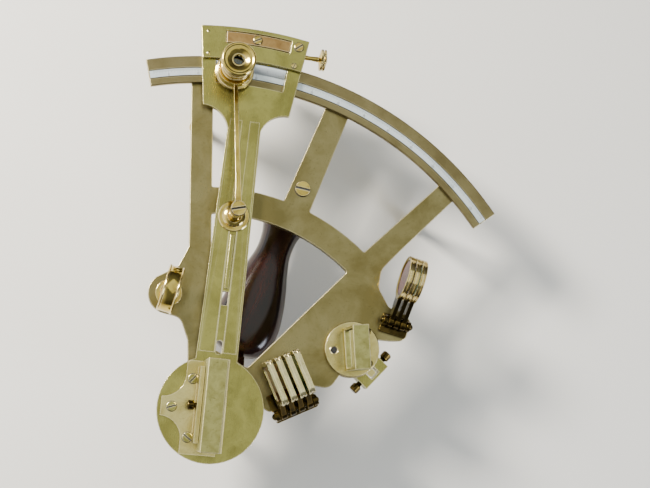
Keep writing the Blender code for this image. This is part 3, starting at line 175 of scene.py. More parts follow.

# --- Frame plate ------------------------------------------------------------------------------
# One sand-cast brass plate, filed flat, stoned and lacquered: hub, three bars and a crossbar.
# Long use has dulled it to a grey tan with cloudy patches; its edges are rubbed brighter by wear, and
# lightened further toward near white as a painted highlight.


def worn_brass(
    name, clean, deep, tarnish, low, high, grain, patch=14.0, marks=0.35, wave=0.4, edge_wear_and_highlight="#FFF0C4"
):
    """Lacquered brass. grain is the brush marks' angle, clockwise from +Y, or None if turned."""
    # The marks are drawn 0.5 mm wide, coarser than real, or they would not show.
    material, shader, place = new_material(name, Metallic=1.0)
    if grain is None:
        flat = add_node(
            material, "ShaderNodeVectorMath", [(0, place), (1, (1, 1, 0))], operation="MULTIPLY"
        )
        radius = add_node(material, "ShaderNodeVectorMath", [(0, flat.outputs[0])], operation="LENGTH")
        lines = add_node(material, "ShaderNodeCombineXYZ", [("X", radius.outputs["Value"])]).outputs[0]
        stretch = (1 / (0.5 * MM), 1, 1)
    else:
        turn = (0, 0, math.radians(grain))
        lines = add_node(material, "ShaderNodeMapping", [("Vector", place), ("Rotation", turn)]).outputs[0]
        stretch = (1 / (0.5 * MM), 1 / (26 * MM), 1 / (0.5 * MM))
    drawn = add_node(material, "ShaderNodeVectorMath", [(0, lines), (1, stretch)], operation="MULTIPLY")
    brushing = add_node(
        material, "ShaderNodeTexNoise", [("Vector", drawn.outputs[0]), ("Scale", 1.0), ("Detail", 3.0)]
    )
    patches = add_node(
        material, "ShaderNodeTexNoise",
        [
            ("Vector", place), ("Scale", 1 / (patch * MM)), ("Detail", 6.0), ("Roughness", 0.62),
            ("Distortion", 0.4)
        ],
    )
    cloud = add_node(
        material, "ShaderNodeMapRange",
        [("Value", patches.outputs["Fac"]), ("From Min", 0.40), ("From Max", 0.62)], clamp=True,
    )
    specks = add_node(
        material, "ShaderNodeTexNoise", [("Vector", place), ("Scale", 1 / (1.3 * MM)), ("Detail", 4.0)]
    )
    spots = add_node(
        material, "ShaderNodeMapRange",
        [("Value", specks.outputs["Fac"]), ("From Min", 0.60), ("From Max", 0.76), ("To Max", marks)],
        clamp=True,
    )
    corner = add_node(material, "ShaderNodeBevel", [("Radius", 0.8 * MM)], samples=4)
    face = add_node(material, "ShaderNodeNewGeometry")
    bend = add_node(
        material, "ShaderNodeVectorMath", [(0, corner.outputs[0]), (1, face.outputs["Normal"])],
        operation="DOT_PRODUCT"
    )
    # Eased edges: brass rubbed through the lacquer by wear, mixed toward a near-white colour that is a
    # painted highlight.
    edge_wear_and_highlight_mask = add_node(
        material, "ShaderNodeMapRange",
        [("Value", bend.outputs["Value"]), ("From Min", 0.995), ("From Max", 0.90), ("To Max", 0.85)],
        clamp=True,
    )
    aged = add_node(
        material, "ShaderNodeMix", [(0, cloud.outputs[0]), (6, linear(clean)), (7, linear(deep))],
        data_type="RGBA"
    )
    spotted = add_node(
        material, "ShaderNodeMix", [(0, spots.outputs[0]), (6, aged.outputs[2]), (7, linear(tarnish))],
        data_type="RGBA",
    )
    edge_worn_and_highlit = add_node(
        material, "ShaderNodeMix", [(0, edge_wear_and_highlight_mask.outputs[0]), (6, spotted.outputs[2]), (7, linear(edge_wear_and_highlight))],
        data_type="RGBA",
    )
    haze = add_node(
        material, "ShaderNodeMix", [(0, 0.35), (2, patches.outputs["Fac"]), (3, brushing.outputs["Fac"])]
    )
    gloss = add_node(
        material, "ShaderNodeMapRange",
        [
            ("Value", haze.outputs[0]), ("From Min", 0.3), ("From Max", 0.7), ("To Min", low),
            ("To Max", high)
        ],
        clamp=True,
    )
    height = add_node(
        material, "ShaderNodeMix", [(0, 0.3), (2, brushing.outputs["Fac"]), (3, specks.outputs["Fac"])]
    )
    waves = add_node(
        material, "ShaderNodeBump",
        [("Height", patches.outputs["Fac"]), ("Strength", 0.5), ("Distance", wave * MM)],
    )
    relief = add_node(
        material, "ShaderNodeBump",
        [
            ("Height", height.outputs[0]), ("Strength", 0.3), ("Distance", 0.02 * MM),
            ("Normal", waves.outputs[0])
        ],
    )
    feed(
        material, shader, Base_Color=edge_worn_and_highlit.outputs[2], Roughness=gloss.outputs[0],
        Normal=relief.outputs["Normal"]
    )
    return material


def dress(name, material, edge=0.0):
    """Gives a CAD node its material and, where its edges are eased, a small bevel of a size in mm."""
    piece = nodes[name]
    for slot in piece.material_slots:
        slot.material = material
    if edge:
        for normals in [a for a in piece.data.attributes if a.name == "custom_normal"]:
            piece.data.attributes.remove(normals)
        piece.data.shade_smooth()
        weld = piece.modifiers.new("weld", "WELD")
        weld.merge_threshold = 0.002 * MM
        flat = piece.modifiers.new("flat faces", "DECIMATE")
        flat.decimate_type = "DISSOLVE"
        flat.angle_limit = math.radians(0.6)
        ease = piece.modifiers.new("eased edges", "BEVEL")
        ease.width = edge * MM
        ease.segments = 3
        ease.limit_method = "ANGLE"
        ease.angle_limit = math.radians(42)
        ease.harden_normals = True


cast_brass = worn_brass(
    "cast brass, stoned and lacquered", "#8F855C", "#766C42", "#463E26", 0.24, 0.42, 20.0, patch=26.0,
    wave=0.55
)
dress("frame", cast_brass, 0.9)

# --- Limb and divided arc ---------------------------------------------------------------------
# The limb is a brass arc turned on a lathe, so its marks run round the pivot. A silver strip is
# hammered into a groove in it, divided on an engine, and the cuts are filled with black wax.

turned_brass = worn_brass(
    "limb brass, lathe turned", "#8E825C", "#776B48", "#4E4329", 0.24, 0.38, None, patch=30.0, wave=0.5
)
dress("limb", turned_brass, 0.35)

silver, shader, place = new_material("scale silver, ring grained", Metallic=0.7)
flat = add_node(silver, "ShaderNodeVectorMath", [(0, place), (1, (1, 1, 0))], operation="MULTIPLY")
radius = add_node(silver, "ShaderNodeVectorMath", [(0, flat.outputs[0])], operation="LENGTH")
# Grain of 0.15 mm is drawn at 0.4 mm, or it would not show.
rounds = add_node(
    silver, "ShaderNodeMath", [(0, radius.outputs["Value"]), (1, 1 / (0.4 * MM))], operation="MULTIPLY"
)
grain = add_node(
    silver, "ShaderNodeTexNoise", [("W", rounds.outputs[0]), ("Scale", 1.0), ("Detail", 2.0)],
    noise_dimensions="1D"
)
bloom = add_node(
    silver, "ShaderNodeTexNoise", [("Vector", place), ("Scale", 1 / (9 * MM)), ("Detail", 5.0)]
)
colour = add_node(
    silver, "ShaderNodeMix", [(0, bloom.outputs["Fac"]), (6, linear("#EDF3F7")), (7, linear("#BFCBD1"))],
    data_type="RGBA",
)
gloss = add_node(
    silver, "ShaderNodeMapRange", [("Value", grain.outputs["Fac"]), ("To Min", 0.22), ("To Max", 0.42)]
)
relief = add_node(
    silver, "ShaderNodeBump", [("Height", grain.outputs["Fac"]), ("Strength", 0.2), ("Distance", 0.01 * MM)]
)
feed(
    silver, shader, Base_Color=colour.outputs[2], Roughness=gloss.outputs[0],
    Normal=relief.outputs["Normal"]
)
dress("arc_scale", silver)

# Black wax for the engraved divisions; the same dark also serves as painted shade in screw slots and round
# screw heads.
black_wax_and_painted_shade, shader, place = new_material("black wax in engraved cuts", Roughness=0.6)
wax = add_node(
    black_wax_and_painted_shade, "ShaderNodeTexNoise", [("Vector", place), ("Scale", 1 / (0.8 * MM)), ("Detail", 3.0)]
)
dusty = add_node(
    black_wax_and_painted_shade, "ShaderNodeMix", [(0, wax.outputs["Fac"]), (6, linear("#15171A")), (7, linear("#3A3B3A"))],
    data_type="RGBA",
)
feed(black_wax_and_painted_shade, shader, Base_Color=dusty.outputs[2])


def polar(radius, angle):
    """Point at a radius and a clockwise angle from +Y."""
    return (radius * math.sin(math.radians(angle)), radius * math.cos(math.radians(angle)))


def place_piece(name, mesh, material, body, matrix=None, crease=35.0):
    """Makes an object of a mesh drawn in mm, moves it to its place and lets it ride on a body."""
    bmesh.ops.recalc_face_normals(mesh, faces=mesh.faces[:])
    data = bpy.data.meshes.new(name)
    mesh.to_mesh(data)
    mesh.free()
    data.transform(Matrix.Scale(MM, 4) @ (matrix or Matrix.Identity(4)))
    data.shade_smooth()
    data.set_sharp_from_angle(angle=math.radians(crease))
    data.materials.append(material)
    piece = bpy.data.objects.new(name, data)
    bpy.context.scene.collection.objects.link(piece)
    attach(piece, body)
    return piece


def stroke(mesh, start, end, width, up=(0, 0, 1), proud=0.03):
    """One engraved line: a thin bar between two points on a face whose normal is up."""
    start, end, up = Vector(start), Vector(end), Vector(up).normalized()
    side = (end - start).cross(up).normalized() * (width / 2)
    low = [start + side, start - side, end - side, end + side]
    corners = [mesh.verts.new(p - up * proud) for p in low] + [mesh.verts.new(p + up * proud) for p in low]
    for face in ((0, 1, 2, 3), (4, 5, 6, 7), (0, 1, 5, 4), (1, 2, 6, 5), (2, 3, 7, 6), (3, 0, 4, 7)):
        mesh.faces.new([corners[i] for i in face])


NUMERALS = {  # strokes of each numeral, on a grid 2 wide and 4 high
    "0": [
        (0.4, 0, 1.6, 0), (1.6, 0, 2, 1), (2, 1, 2, 3), (2, 3, 1.6, 4), (1.6, 4, 0.4, 4), (0.4, 4, 0, 3),
        (0, 3, 0, 1), (0, 1, 0.4, 0)
    ],
    "1": [(1, 0, 1, 4), (1, 4, 0.4, 3.2)],
    "2": [(0, 3.2, 0.5, 4), (0.5, 4, 1.5, 4), (1.5, 4, 2, 3), (2, 3, 0, 0), (0, 0, 2, 0)],
    "3": [(0, 4, 2, 4), (2, 4, 1, 2.4), (1, 2.4, 2, 1.4), (2, 1.4, 1.4, 0), (1.4, 0, 0, 0.4)],
    "4": [(1.5, 0, 1.5, 4), (1.5, 4, 0, 1.2), (0, 1.2, 2, 1.2)],
    "5": [
        (2, 4, 0.3, 4), (0.3, 4, 0.1, 2.3), (0.1, 2.3, 1.4, 2.4), (1.4, 2.4, 2, 1.4), (2, 1.4, 1.4, 0),
        (1.4, 0, 0, 0.3)
    ],
    "6": [
        (1.8, 4, 0.3, 2.2), (0.3, 2.2, 0, 1), (0, 1, 0.6, 0), (0.6, 0, 1.6, 0), (1.6, 0, 2, 1.1),
        (2, 1.1, 1.4, 2.2), (1.4, 2.2, 0.3, 1.8)
    ],
    "7": [(0, 4, 2, 4), (2, 4, 0.8, 0)],
    "8": [
        (1, 2.2, 0.2, 3.1), (0.2, 3.1, 1, 4), (1, 4, 1.8, 3.1), (1.8, 3.1, 1, 2.2), (1, 2.2, 0, 1.1),
        (0, 1.1, 1, 0), (1, 0, 2, 1.1), (2, 1.1, 1, 2.2)
    ],
    "9": [
        (0.2, 0, 1.7, 1.8), (1.7, 1.8, 2, 3), (2, 3, 1.4, 4), (1.4, 4, 0.4, 4), (0.4, 4, 0, 2.9),
        (0, 2.9, 0.6, 1.8), (0.6, 1.8, 1.7, 2.2)
    ],
}


def write_number(mesh, text, radius, angle, height, level, width):
    """Writes a number across a radius, its foot toward the pivot."""
    unit = height / 4
    pitch = 2.9 * unit
    for spot, figure in enumerate(text):
        shift = (spot - (len(text) - 1) / 2) * pitch - unit
        for x0, y0, x1, y1 in NUMERALS[figure]:
            ends = []
            for x, y in ((x0, y0), (x1, y1)):
                turn = angle + math.degrees((shift + x * unit) / radius)
                ends.append((*polar(radius + y * unit, turn), level))
            stroke(mesh, *ends, width)


ZERO_ANGLE = -7.8  # where the arc's zero stands; half a degree of turn reads as one degree
SCALE_INNER, SCALE_OUTER, LIMB_TOP = 187.6, 191.6, 65.0
marks = bmesh.new()
for third in range(-15, 376):
    angle = ZERO_ANGLE + third / 6
    length = 2.5 if third % 30 == 0 else 2.0 if third % 15 == 0 else 1.7 if third % 3 == 0 else 1.1
    outer = (*polar(SCALE_OUTER - 0.1, angle), LIMB_TOP)
    inner = (*polar(SCALE_OUTER - 0.1 - length, angle), LIMB_TOP)
    stroke(marks, inner, outer, 0.09 if third % 15 else 0.12)
for tens in range(0, 13):
    write_number(marks, str(tens * 10), SCALE_INNER + 0.25, ZERO_ANGLE + tens * 5, 1.1, LIMB_TOP, 0.13)
place_piece("arc_divisions", marks, black_wax_and_painted_shade, "instrument_frame")

# --- Legs and pivot bearing -------------------------------------------------------------------
# Three turned brass legs screw into the back; the third stands on a cup that covers the bearing.
# All come off the lathe with beads and coves, polished and lacquered while still bright.


def ring(mesh, radius, height, steps):
    """Circle of vertices about Z, or one vertex on the axis."""
    if radius == 0:
        return [mesh.verts.new((0, 0, height))]
    return [mesh.verts.new((*polar(radius, 360 * i / steps), height)) for i in range(steps)]


def turned(profile, steps=64, closed=False):
    """Lathe-turned shape about Z from (radius, height) points."""
    mesh = bmesh.new()
    rings = [ring(mesh, radius, height, steps) for radius, height in profile]
    pairs = list(zip(rings, rings[1:])) + ([(rings[-1], rings[0])] if closed else [])
    for first, second in pairs:
        for i in range(steps):
            face = [first[i - 1] if len(first) > 1 else first[0]]
            face += [first[i]] if len(first) > 1 else []
            face += [second[i], second[i - 1]] if len(second) > 1 else [second[0]]
            mesh.faces.new(face)
    return mesh


def bead(radius, low, high, proud, steps=6):
    """Half-round bead on a turned profile."""
    turns = [math.pi * i / steps for i in range(steps + 1)]
    return [
        (radius + proud * math.sin(t), (low + high) / 2 - (high - low) / 2 * math.cos(t))
        for t in turns
    ]


bright_brass = worn_brass(
    "turned brass, polished bright", "#D3BB62", "#B0974A", "#6E5C2A", 0.08, 0.20, None, patch=9.0,
    marks=0.2,
    wave=0.1,
)


def leg_profile(top):
    """Leg from its foot to the shoulder under the frame."""
    return (
        [(0, 0), (3.6, 0), (4.1, 0.3), (4.4, 1.0), (4.4, 2.6), (4.1, 3.1)]
        + [(3.6, 3.4), (3.2, 4.8), (2.9, 7.0)]
        + bead(2.9, 7.6, 9.0, 0.8)
        + [(2.8, 9.6), (2.6, top * 0.5), (3.0, top - 11)]
        + bead(3.0, top - 10.6, top - 9.0, 0.9)
        + [(3.2, top - 8.4), (4.0, top - 6.6), (4.8, top - 5.4)]
        + bead(4.8, top - 5.0, top - 2.8, 0.7)
        + [(5.2, top - 2.5), (5.5, top - 1.8), (5.5, top), (0, top)]
    )


for name in ("left_leg", "right_leg", "pivot_foot"):
    low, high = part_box(name)
    seat = (low + high) / 2 / MM
    leg = place_piece(
        "turned_" + name, turned(leg_profile(high.z / MM)), bright_brass, "instrument_frame",
        Matrix.Translation((seat.x, seat.y, 0)),
    )
    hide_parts(name)
for name in ("bearing_cap", "pivot_bush", "pivot_axle", "pivot_nut"):
    dress(name, bright_brass, 0.25)

# --- Handle -----------------------------------------------------------------------------------
# A pear-shaped grip turned and carved from mahogany, stained nearly black and French polished.
# The polish is glossy over pores half a millimetre wide that run along it.

mahogany, shader, place = new_material(
    "mahogany, French polished", IOR=1.45, Coat_Weight=0.12, Coat_Roughness=0.04
)
HANDLE_ANGLE = 20.2
along_grip = add_node(
    mahogany, "ShaderNodeMapping", [("Vector", place), ("Rotation", (0, 0, math.radians(HANDLE_ANGLE)))]
)
slow = add_node(
    mahogany, "ShaderNodeVectorMath",
    [(0, along_grip.outputs[0]), (1, (1 / (7 * MM), 1 / (60 * MM), 1 / (7 * MM)))],
    operation="MULTIPLY",
)
figure = add_node(
    mahogany, "ShaderNodeTexNoise",
    [("Vector", slow.outputs[0]), ("Scale", 1.0), ("Detail", 5.0), ("Distortion", 1.2)],
)
fine = add_node(
    mahogany, "ShaderNodeVectorMath",
    [(0, along_grip.outputs[0]), (1, (1 / (0.5 * MM), 1 / (7 * MM), 1 / (0.5 * MM)))], operation="MULTIPLY",
)
pores = add_node(
    mahogany, "ShaderNodeTexNoise", [("Vector", fine.outputs[0]), ("Scale", 1.0), ("Detail", 2.0)]
)
open_pores = add_node(
    mahogany, "ShaderNodeMapRange",
    [("Value", pores.outputs["Fac"]), ("From Min", 0.56), ("From Max", 0.66)], clamp=True
)
bands = add_node(
    mahogany, "ShaderNodeMapRange",
    [("Value", figure.outputs["Fac"]), ("From Min", 0.35), ("From Max", 0.65)], clamp=True
)
heart = add_node(
    mahogany, "ShaderNodeMix", [(0, bands.outputs[0]), (6, linear("#160604")), (7, linear("#38120A"))],
    data_type="RGBA",
)
streaked = add_node(
    mahogany, "ShaderNodeMix", [(0, open_pores.outputs[0]), (6, heart.outputs[2]), (7, linear("#0A0302"))],
    data_type="RGBA",
)
sheen = add_node(
    mahogany, "ShaderNodeMapRange", [("Value", bands.outputs[0]), ("To Min", 0.16), ("To Max", 0.26)]
)
relief = add_node(
    mahogany, "ShaderNodeBump",
    [("Height", open_pores.outputs[0]), ("Strength", 0.12), ("Distance", 0.04 * MM)],
    invert=True,
)
feed(
    mahogany, shader, Base_Color=streaked.outputs[2], Roughness=sheen.outputs[0],
    Normal=relief.outputs["Normal"]
)

HANDLE_PLACE = Matrix.Translation((12, 18, 24)) @ Matrix.Rotation(math.radians(-HANDLE_ANGLE), 4, "Z")
GRIP_START, GRIP_LENGTH = 15.0, 87.0
GRIP_STATIONS = [  # share of the length, half width, half thickness
    (0.0, 7.4, 6.4), (0.012, 10.4, 8.2), (0.03, 12.9, 9.5), (0.09, 17.2, 11.7), (0.22, 19.5, 12.9),
    (0.37, 18.2, 12.9), (0.50, 15.7, 12.1), (0.62, 12.7, 10.9), (0.74, 10.4, 9.7), (0.85, 10.7, 9.5),
    (0.94, 12.6, 10.1), (0.985, 12.5, 9.9), (1.0, 11.6, 9.0),
]


def eased(stations, share):
    """Smooth half width and half thickness of the grip at a share of its length."""
    last = len(stations) - 2
    i = max(k for k in range(last + 1) if stations[k][0] <= share or k == 0)
    before, here, after, beyond = (stations[min(max(k, 0), last + 1)] for k in (i - 1, i, i + 1, i + 2))
    span = after[0] - here[0]
    t = min(max((share - here[0]) / span, 0), 1)
    values = []
    for k in (1, 2):
        slope_in = (after[k] - before[k]) / max(after[0] - before[0], 1e-6) * span
        slope_out = (beyond[k] - here[k]) / max(beyond[0] - here[0], 1e-6) * span
        values.append(
            (2 * t ** 3 - 3 * t ** 2 + 1) * here[k] + (t ** 3 - 2 * t ** 2 + t) * slope_in
            + (3 * t ** 2 - 2 * t ** 3) * after[k] + (t ** 3 - t ** 2) * slope_out
        )
    return values


grip_mesh = bmesh.new()
grip_rings = []
for step in range(73):
    share = 0.5 - 0.5 * math.cos(math.pi * step / 72)
    wide, thick = eased(GRIP_STATIONS, share)
    ring_points = []
    for i in range(56):
        turn = 2 * math.pi * i / 56
        across = wide * math.copysign(abs(math.cos(turn)) ** 0.88, math.cos(turn))
        up = thick * math.copysign(abs(math.sin(turn)) ** 0.88, math.sin(turn))
        ring_points.append(grip_mesh.verts.new((across, GRIP_START + GRIP_LENGTH * share, up)))
    grip_rings.append(ring_points)
for first, second in zip(grip_rings, grip_rings[1:]):
    for i in range(56):
        grip_mesh.faces.new((first[i - 1], first[i], second[i], second[i - 1]))
grip_mesh.faces.new(grip_rings[0])
grip_mesh.faces.new(grip_rings[-1])
grip = place_piece("mahogany_grip", grip_mesh, mahogany, "instrument_frame", HANDLE_PLACE, 50.0)
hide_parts("handle_grip")
for name in ("handle_lower_bracket", "handle_upper_bracket"):
    dress(name, bright_brass, 0.5)


def slotted(radius, height, turn=0.0, mesh=None, place=None):
    """Screw head on its seat: a full disc below, two rounded halves either side of the slot."""
    mesh = mesh or bmesh.new()
    place = place or Matrix.Identity(4)
    low = [mesh.verts.new(place @ Vector((*polar(radius, 10 * i), 0))) for i in range(36)]
    high = [mesh.verts.new(place @ Vector((*polar(radius, 10 * i), height * 0.45))) for i in range(36)]
    mesh.faces.new(low)
    mesh.faces.new(high)
    for i in range(36):
        mesh.faces.new((low[i - 1], low[i], high[i], high[i - 1]))
    for side in (0, 180):
        spin = place @ Matrix.Rotation(math.radians(turn + side), 4, "Z")
        rings = []
        for share, level in ((1.0, 0.45), (1.0, 0.78), (0.95, 0.93), (0.84, 1.0)):
            first = math.asin(0.15 / share)
            turns = [first + (math.pi - 2 * first) * i / 20 for i in range(21)]
            reach = radius * share
            points = [Vector((reach * math.cos(t), reach * math.sin(t), height * level)) for t in turns]
            rings.append([mesh.verts.new(spin @ point) for point in points])
        for first_ring, second_ring in zip(rings, rings[1:]):
            for i in range(21):
                mesh.faces.new((first_ring[i - 1], first_ring[i], second_ring[i], second_ring[i - 1]))
        mesh.faces.new(rings[0])
        mesh.faces.new(rings[-1])
    return mesh


def slot_painted_shade_and_dirt(mesh, radius, height, turn, place):
    """Dark strip in a screw's slot and dark ring round its head: painted shade of the slot and the joint,
    partly old polish.
    """
    level = height * 0.47
    spin = place @ Matrix.Rotation(math.radians(turn), 4, "Z")
    ends = [spin @ Vector((way * radius * 0.97, 0, level)) for way in (-1, 1)]
    facing = place.to_3x3() @ Vector((0, 0, 1))
    stroke(mesh, *ends, radius * 0.29, up=facing)
    for i in range(24):
        rim = [place @ Vector((*polar(radius + 0.12, 15 * (i + k)), 0.07)) for k in (0, 1)]
        stroke(mesh, *rim, 0.3, up=facing)


low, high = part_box("handle_frame_screw")
seat = (low + high) / 2 / MM
HEAD_RADIUS, HEAD_HEIGHT, HEAD_TURN, HEAD_SEAT = 4.4, 1.7, -12, 62.05
screw_place = Matrix.Translation((seat.x, seat.y, HEAD_SEAT))
frame_screw = place_piece(
    "handle_screw_head", slotted(HEAD_RADIUS, HEAD_HEIGHT, HEAD_TURN), bright_brass,
    "instrument_frame", screw_place,
)
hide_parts("handle_frame_screw")
# Dark strip in the slot and dark ring round the head: painted shade, partly old polish.
painted_shade_and_dirt = bmesh.new()
slot_painted_shade_and_dirt(painted_shade_and_dirt, HEAD_RADIUS, HEAD_HEIGHT, HEAD_TURN, screw_place)
place_piece("handle_screw_painted_shade_and_dirt", painted_shade_and_dirt, black_wax_and_painted_shade, "instrument_frame")

# --- Index arm --------------------------------------------------------------------------------
# The arm is hammer-hardened sheet brass, filed to shape and drawn along its length with fine
# paper before a yellow lacquer, so it looks greener and shinier than the frame under it.

ARM_ANGLE = 6.15  # how far the arm stands clockwise of +Y at rest
arm_brass = worn_brass(
    "sheet brass, drawn and lacquered", "#A8A25C", "#8E884A", "#565026", 0.20, 0.32, ARM_ANGLE, patch=18.0,
    marks=0.3,
    wave=0.25,
)
for name in ("index_arm", "arm_rib"):
    dress(name, arm_brass, 0.4)

ARM_PLACE = Matrix.Rotation(math.radians(-ARM_ANGLE), 4, "Z")
ARM_TOP = 68.3
facets = bmesh.new()
for edge, ridge in (((-10.4, -8.4), (-1.7, -1.5)), ((10.4, 8.4), (2.9, 2.7))):
    flat_face = [(edge[0], 31), (edge[1], 162), (ridge[1], 162), (ridge[0], 31)]
    foot_ring = [facets.verts.new((x, y, ARM_TOP - 0.1)) for x, y in flat_face]
    crest = (0.02, 0.02, 0.06, 0.42)
    crest_ring = [facets.verts.new((x, y, ARM_TOP + rise)) for (x, y), rise in zip(flat_face, crest)]
    facets.faces.new(foot_ring)
    facets.faces.new(crest_ring)
    for i in range(4):
        facets.faces.new((foot_ring[i - 1], foot_ring[i], crest_ring[i], crest_ring[i - 1]))
place_piece("arm_facets", facets, arm_brass, "arm", ARM_PLACE, 2.0)
moulding = bmesh.new()
for root, neck, start, end in ((-1.5, -1.3, 31, 100), (2.7, 2.5, 31, 100)):
    for low_end, high_end in ((start, (start + end) / 2), ((start + end) / 2, end)):
        ends = [(root + (neck - root) * (y - 30) / 120, y, ARM_TOP) for y in (low_end, high_end)]
        stroke(moulding, *ends, 0.4, proud=0.22)
place_piece("arm_mouldings", moulding, arm_brass, "arm", ARM_PLACE)

# --- Vernier and clamp cover ------------------------------------------------------------------
# A silver vernier is let into the arm's window, bevelled down to meet the arc. Above it a brass
# cover, screwed and riveted on, hides the clamp; a copper leaf on it presses the clamp home.

dress("vernier_plate", silver, 0.12)
VERNIER_FOOT, VERNIER_HEAD = (191.0, 65.7), (194.2, 68.1)
slope = (Vector(VERNIER_HEAD) - Vector(VERNIER_FOOT)).normalized()
cuts = bmesh.new()
for step in range(41):
    angle = -5.6 + step * 0.28
    length = 2.6 if step % 10 == 0 else 2.0 if step % 5 == 0 else 1.3
    ends = []
    for along in (0.25, 0.25 + length):
        radius, level = Vector(VERNIER_FOOT) + slope * along
        ends.append((*polar(radius, angle), level))
    facing = Vector((*polar(-slope.y, angle), slope.x))
    stroke(cuts, *ends, 0.11, up=facing)
place_piece("vernier_divisions", cuts, black_wax_and_painted_shade, "arm", ARM_PLACE)

dress("clamp_cover", arm_brass, 0.4)
copper = worn_brass("copper strip, dull", "#A98A58", "#8E7044", "#54422A", 0.30, 0.48, 96.0, patch=8.0)
dress("clamp_spring", copper, 0.2)
COVER_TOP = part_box("clamp_cover")[1].z / MM
SPRING_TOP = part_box("clamp_spring")[1].z / MM
heads = bmesh.new()
# Dark strips in the slots and dark rings round the heads: painted shade, partly old polish.
painted_shade_and_dirt = bmesh.new()
for radius, angle, size, level, turn in (
    (210.1, 6.9, 2.7, COVER_TOP, 40), (208.9, 0.4, 2.5, SPRING_TOP, 30), (198.6, 6.85, 1.5, COVER_TOP, 70),
):
    seat = Matrix.Translation((*polar(radius, angle), level - 0.05))
    slotted(size, 0.9, turn, heads, seat)
    slot_painted_shade_and_dirt(painted_shade_and_dirt, size, 0.9, turn, seat)
place_piece("cover_screws", heads, bright_brass, "arm", ARM_PLACE)
place_piece("cover_screw_painted_shade_and_dirt", painted_shade_and_dirt, black_wax_and_painted_shade, "arm", ARM_PLACE)
rivets = bmesh.new()
for radius, angle in ((211.4, -7.25), (198.8, -7.25)):
    head = turned([(0, -0.1), (0.9, -0.1), (0.9, 0.12), (0.6, 0.3), (0, 0.38)], 20)
    bmesh.ops.translate(head, verts=head.verts[:], vec=(*polar(radius, angle), COVER_TOP))
    flush = bpy.data.meshes.new("rivet")
    head.to_mesh(flush)
    head.free()
    rivets.from_mesh(flush)
place_piece("cover_rivets", rivets, arm_brass, "arm", ARM_PLACE)

# --- Clamp and tangent screw ------------------------------------------------------------------
# The brass clamp grips the limb from behind. A steel-hard brass screw with a fine thread and a
# milled head creeps the arm along; all are turned bright, their milling rolled in.


def milled(profile, teeth):
    """Turned shape whose points may carry a third value, the depth of the milling there."""
    mesh = bmesh.new()
    rings = []
    for radius, height, *depth in profile:
        deep = depth[0] if depth else 0
        if radius == 0:
            rings.append([mesh.verts.new((0, 0, height))])
            continue
        points = [polar(radius - deep * (i % 2), 180 * i / teeth) for i in range(2 * teeth)]
        rings.append([mesh.verts.new((*point, height)) for point in points])
    for first, second in zip(rings, rings[1:]):
        for i in range(2 * teeth):
            face = [first[i - 1], first[i]] if len(first) > 1 else [first[0]]
            face += [second[i], second[i - 1]] if len(second) > 1 else [second[0]]
            mesh.faces.new(face)
    return mesh


dress("clamp_block", arm_brass, 0.5)
dress("tangent_bearing", arm_brass, 0.5)
TANGENT_REACH, TANGENT_LEVEL = 206.254, 60.7  # the tangent screw: from the pivot, and above the table
screw_profile = [(0, -14), (1.2, -14)]
for thread in range(46):  # a thread of 0.5 mm pitch, drawn at 0.8 mm to show
    screw_profile += [(1.6, -13.6 + 0.8 * thread), (1.25, -13.2 + 0.8 * thread)]
screw_profile += [(1.6, 23.6), (1.6, 27.8), (2.8, 27.9), (2.8, 29.3), (1.5, 29.5), (1.3, 34), (1.6, 38.4)]
screw_profile += [(3.0, 39.0), (5.6, 39.3), (6.2, 39.6, 0.35), (6.2, 40.7, 0.35), (5.5, 40.9)]
screw_profile += [
    (5.5, 41.3), (6.2, 41.5, 0.35), (6.2, 42.3, 0.35), (5.7, 42.6), (2.2, 42.8), (1.8, 43.4), (0, 43.5)
]
SCREW_PLACE = (
    Matrix.Translation((*polar(TANGENT_REACH, ARM_ANGLE), TANGENT_LEVEL)) @ ARM_PLACE @ Matrix.Rotation(
        math.radians(90), 4, "Y"
    )
)
fine_screw = place_piece(
    "tangent_screw_threaded", milled(screw_profile, 30), bright_brass, "fine_screw",
    SCREW_PLACE
)
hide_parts("tangent_screw")
low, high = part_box("clamp_screw")
foot, shoulder = low.z / MM, high.z / MM
thumb_profile = [(0, foot), (4.6, foot), (5.8, foot + 0.2), (6.6, foot + 0.7), (7.0, foot + 1.2)]
thumb_profile += [(7.6, foot + 1.5, 0.4), (7.6, foot + 4.9, 0.4), (7.0, foot + 5.2), (5.0, foot + 5.5)]
thumb_profile += [
    (3.0, foot + 6.6), (2.5, foot + 8.0), (2.9, foot + 8.6), (2.9, foot + 9.2), (2.0, foot + 9.6)
]
thumb_profile += [(2.0, shoulder), (0, shoulder)]
thumb = place_piece(
    "clamp_screw_milled", milled(thumb_profile, 36), bright_brass, "clamp_thumb_screw",
    Matrix.Translation((*polar(TANGENT_REACH, ARM_ANGLE), 0)),
)
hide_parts("clamp_screw")

# --- Index mirror -----------------------------------------------------------------------------
# Plate glass, silvered behind, in a sheet brass box that is screwed to the arm's disc by a foot
# with a scalloped tongue. The box was left matt; the foot was polished before lacquering.

matt_brass = worn_brass(
    "sheet brass, stoned matt", "#A8A468", "#908C54", "#605A34", 0.34, 0.48, 5.0, patch=5.0, marks=0.7,
    wave=0.3
)
dress("index_mirror_frame", matt_brass, 0.35)
foot_brass = worn_brass(
    "sheet brass, polished and lacquered", "#D2C484", "#B9AA66", "#7E703C", 0.16, 0.30, 5.0, patch=14.0,
    marks=0.3, wave=0.2
)
dress("index_mirror_base", foot_brass, 0.35)

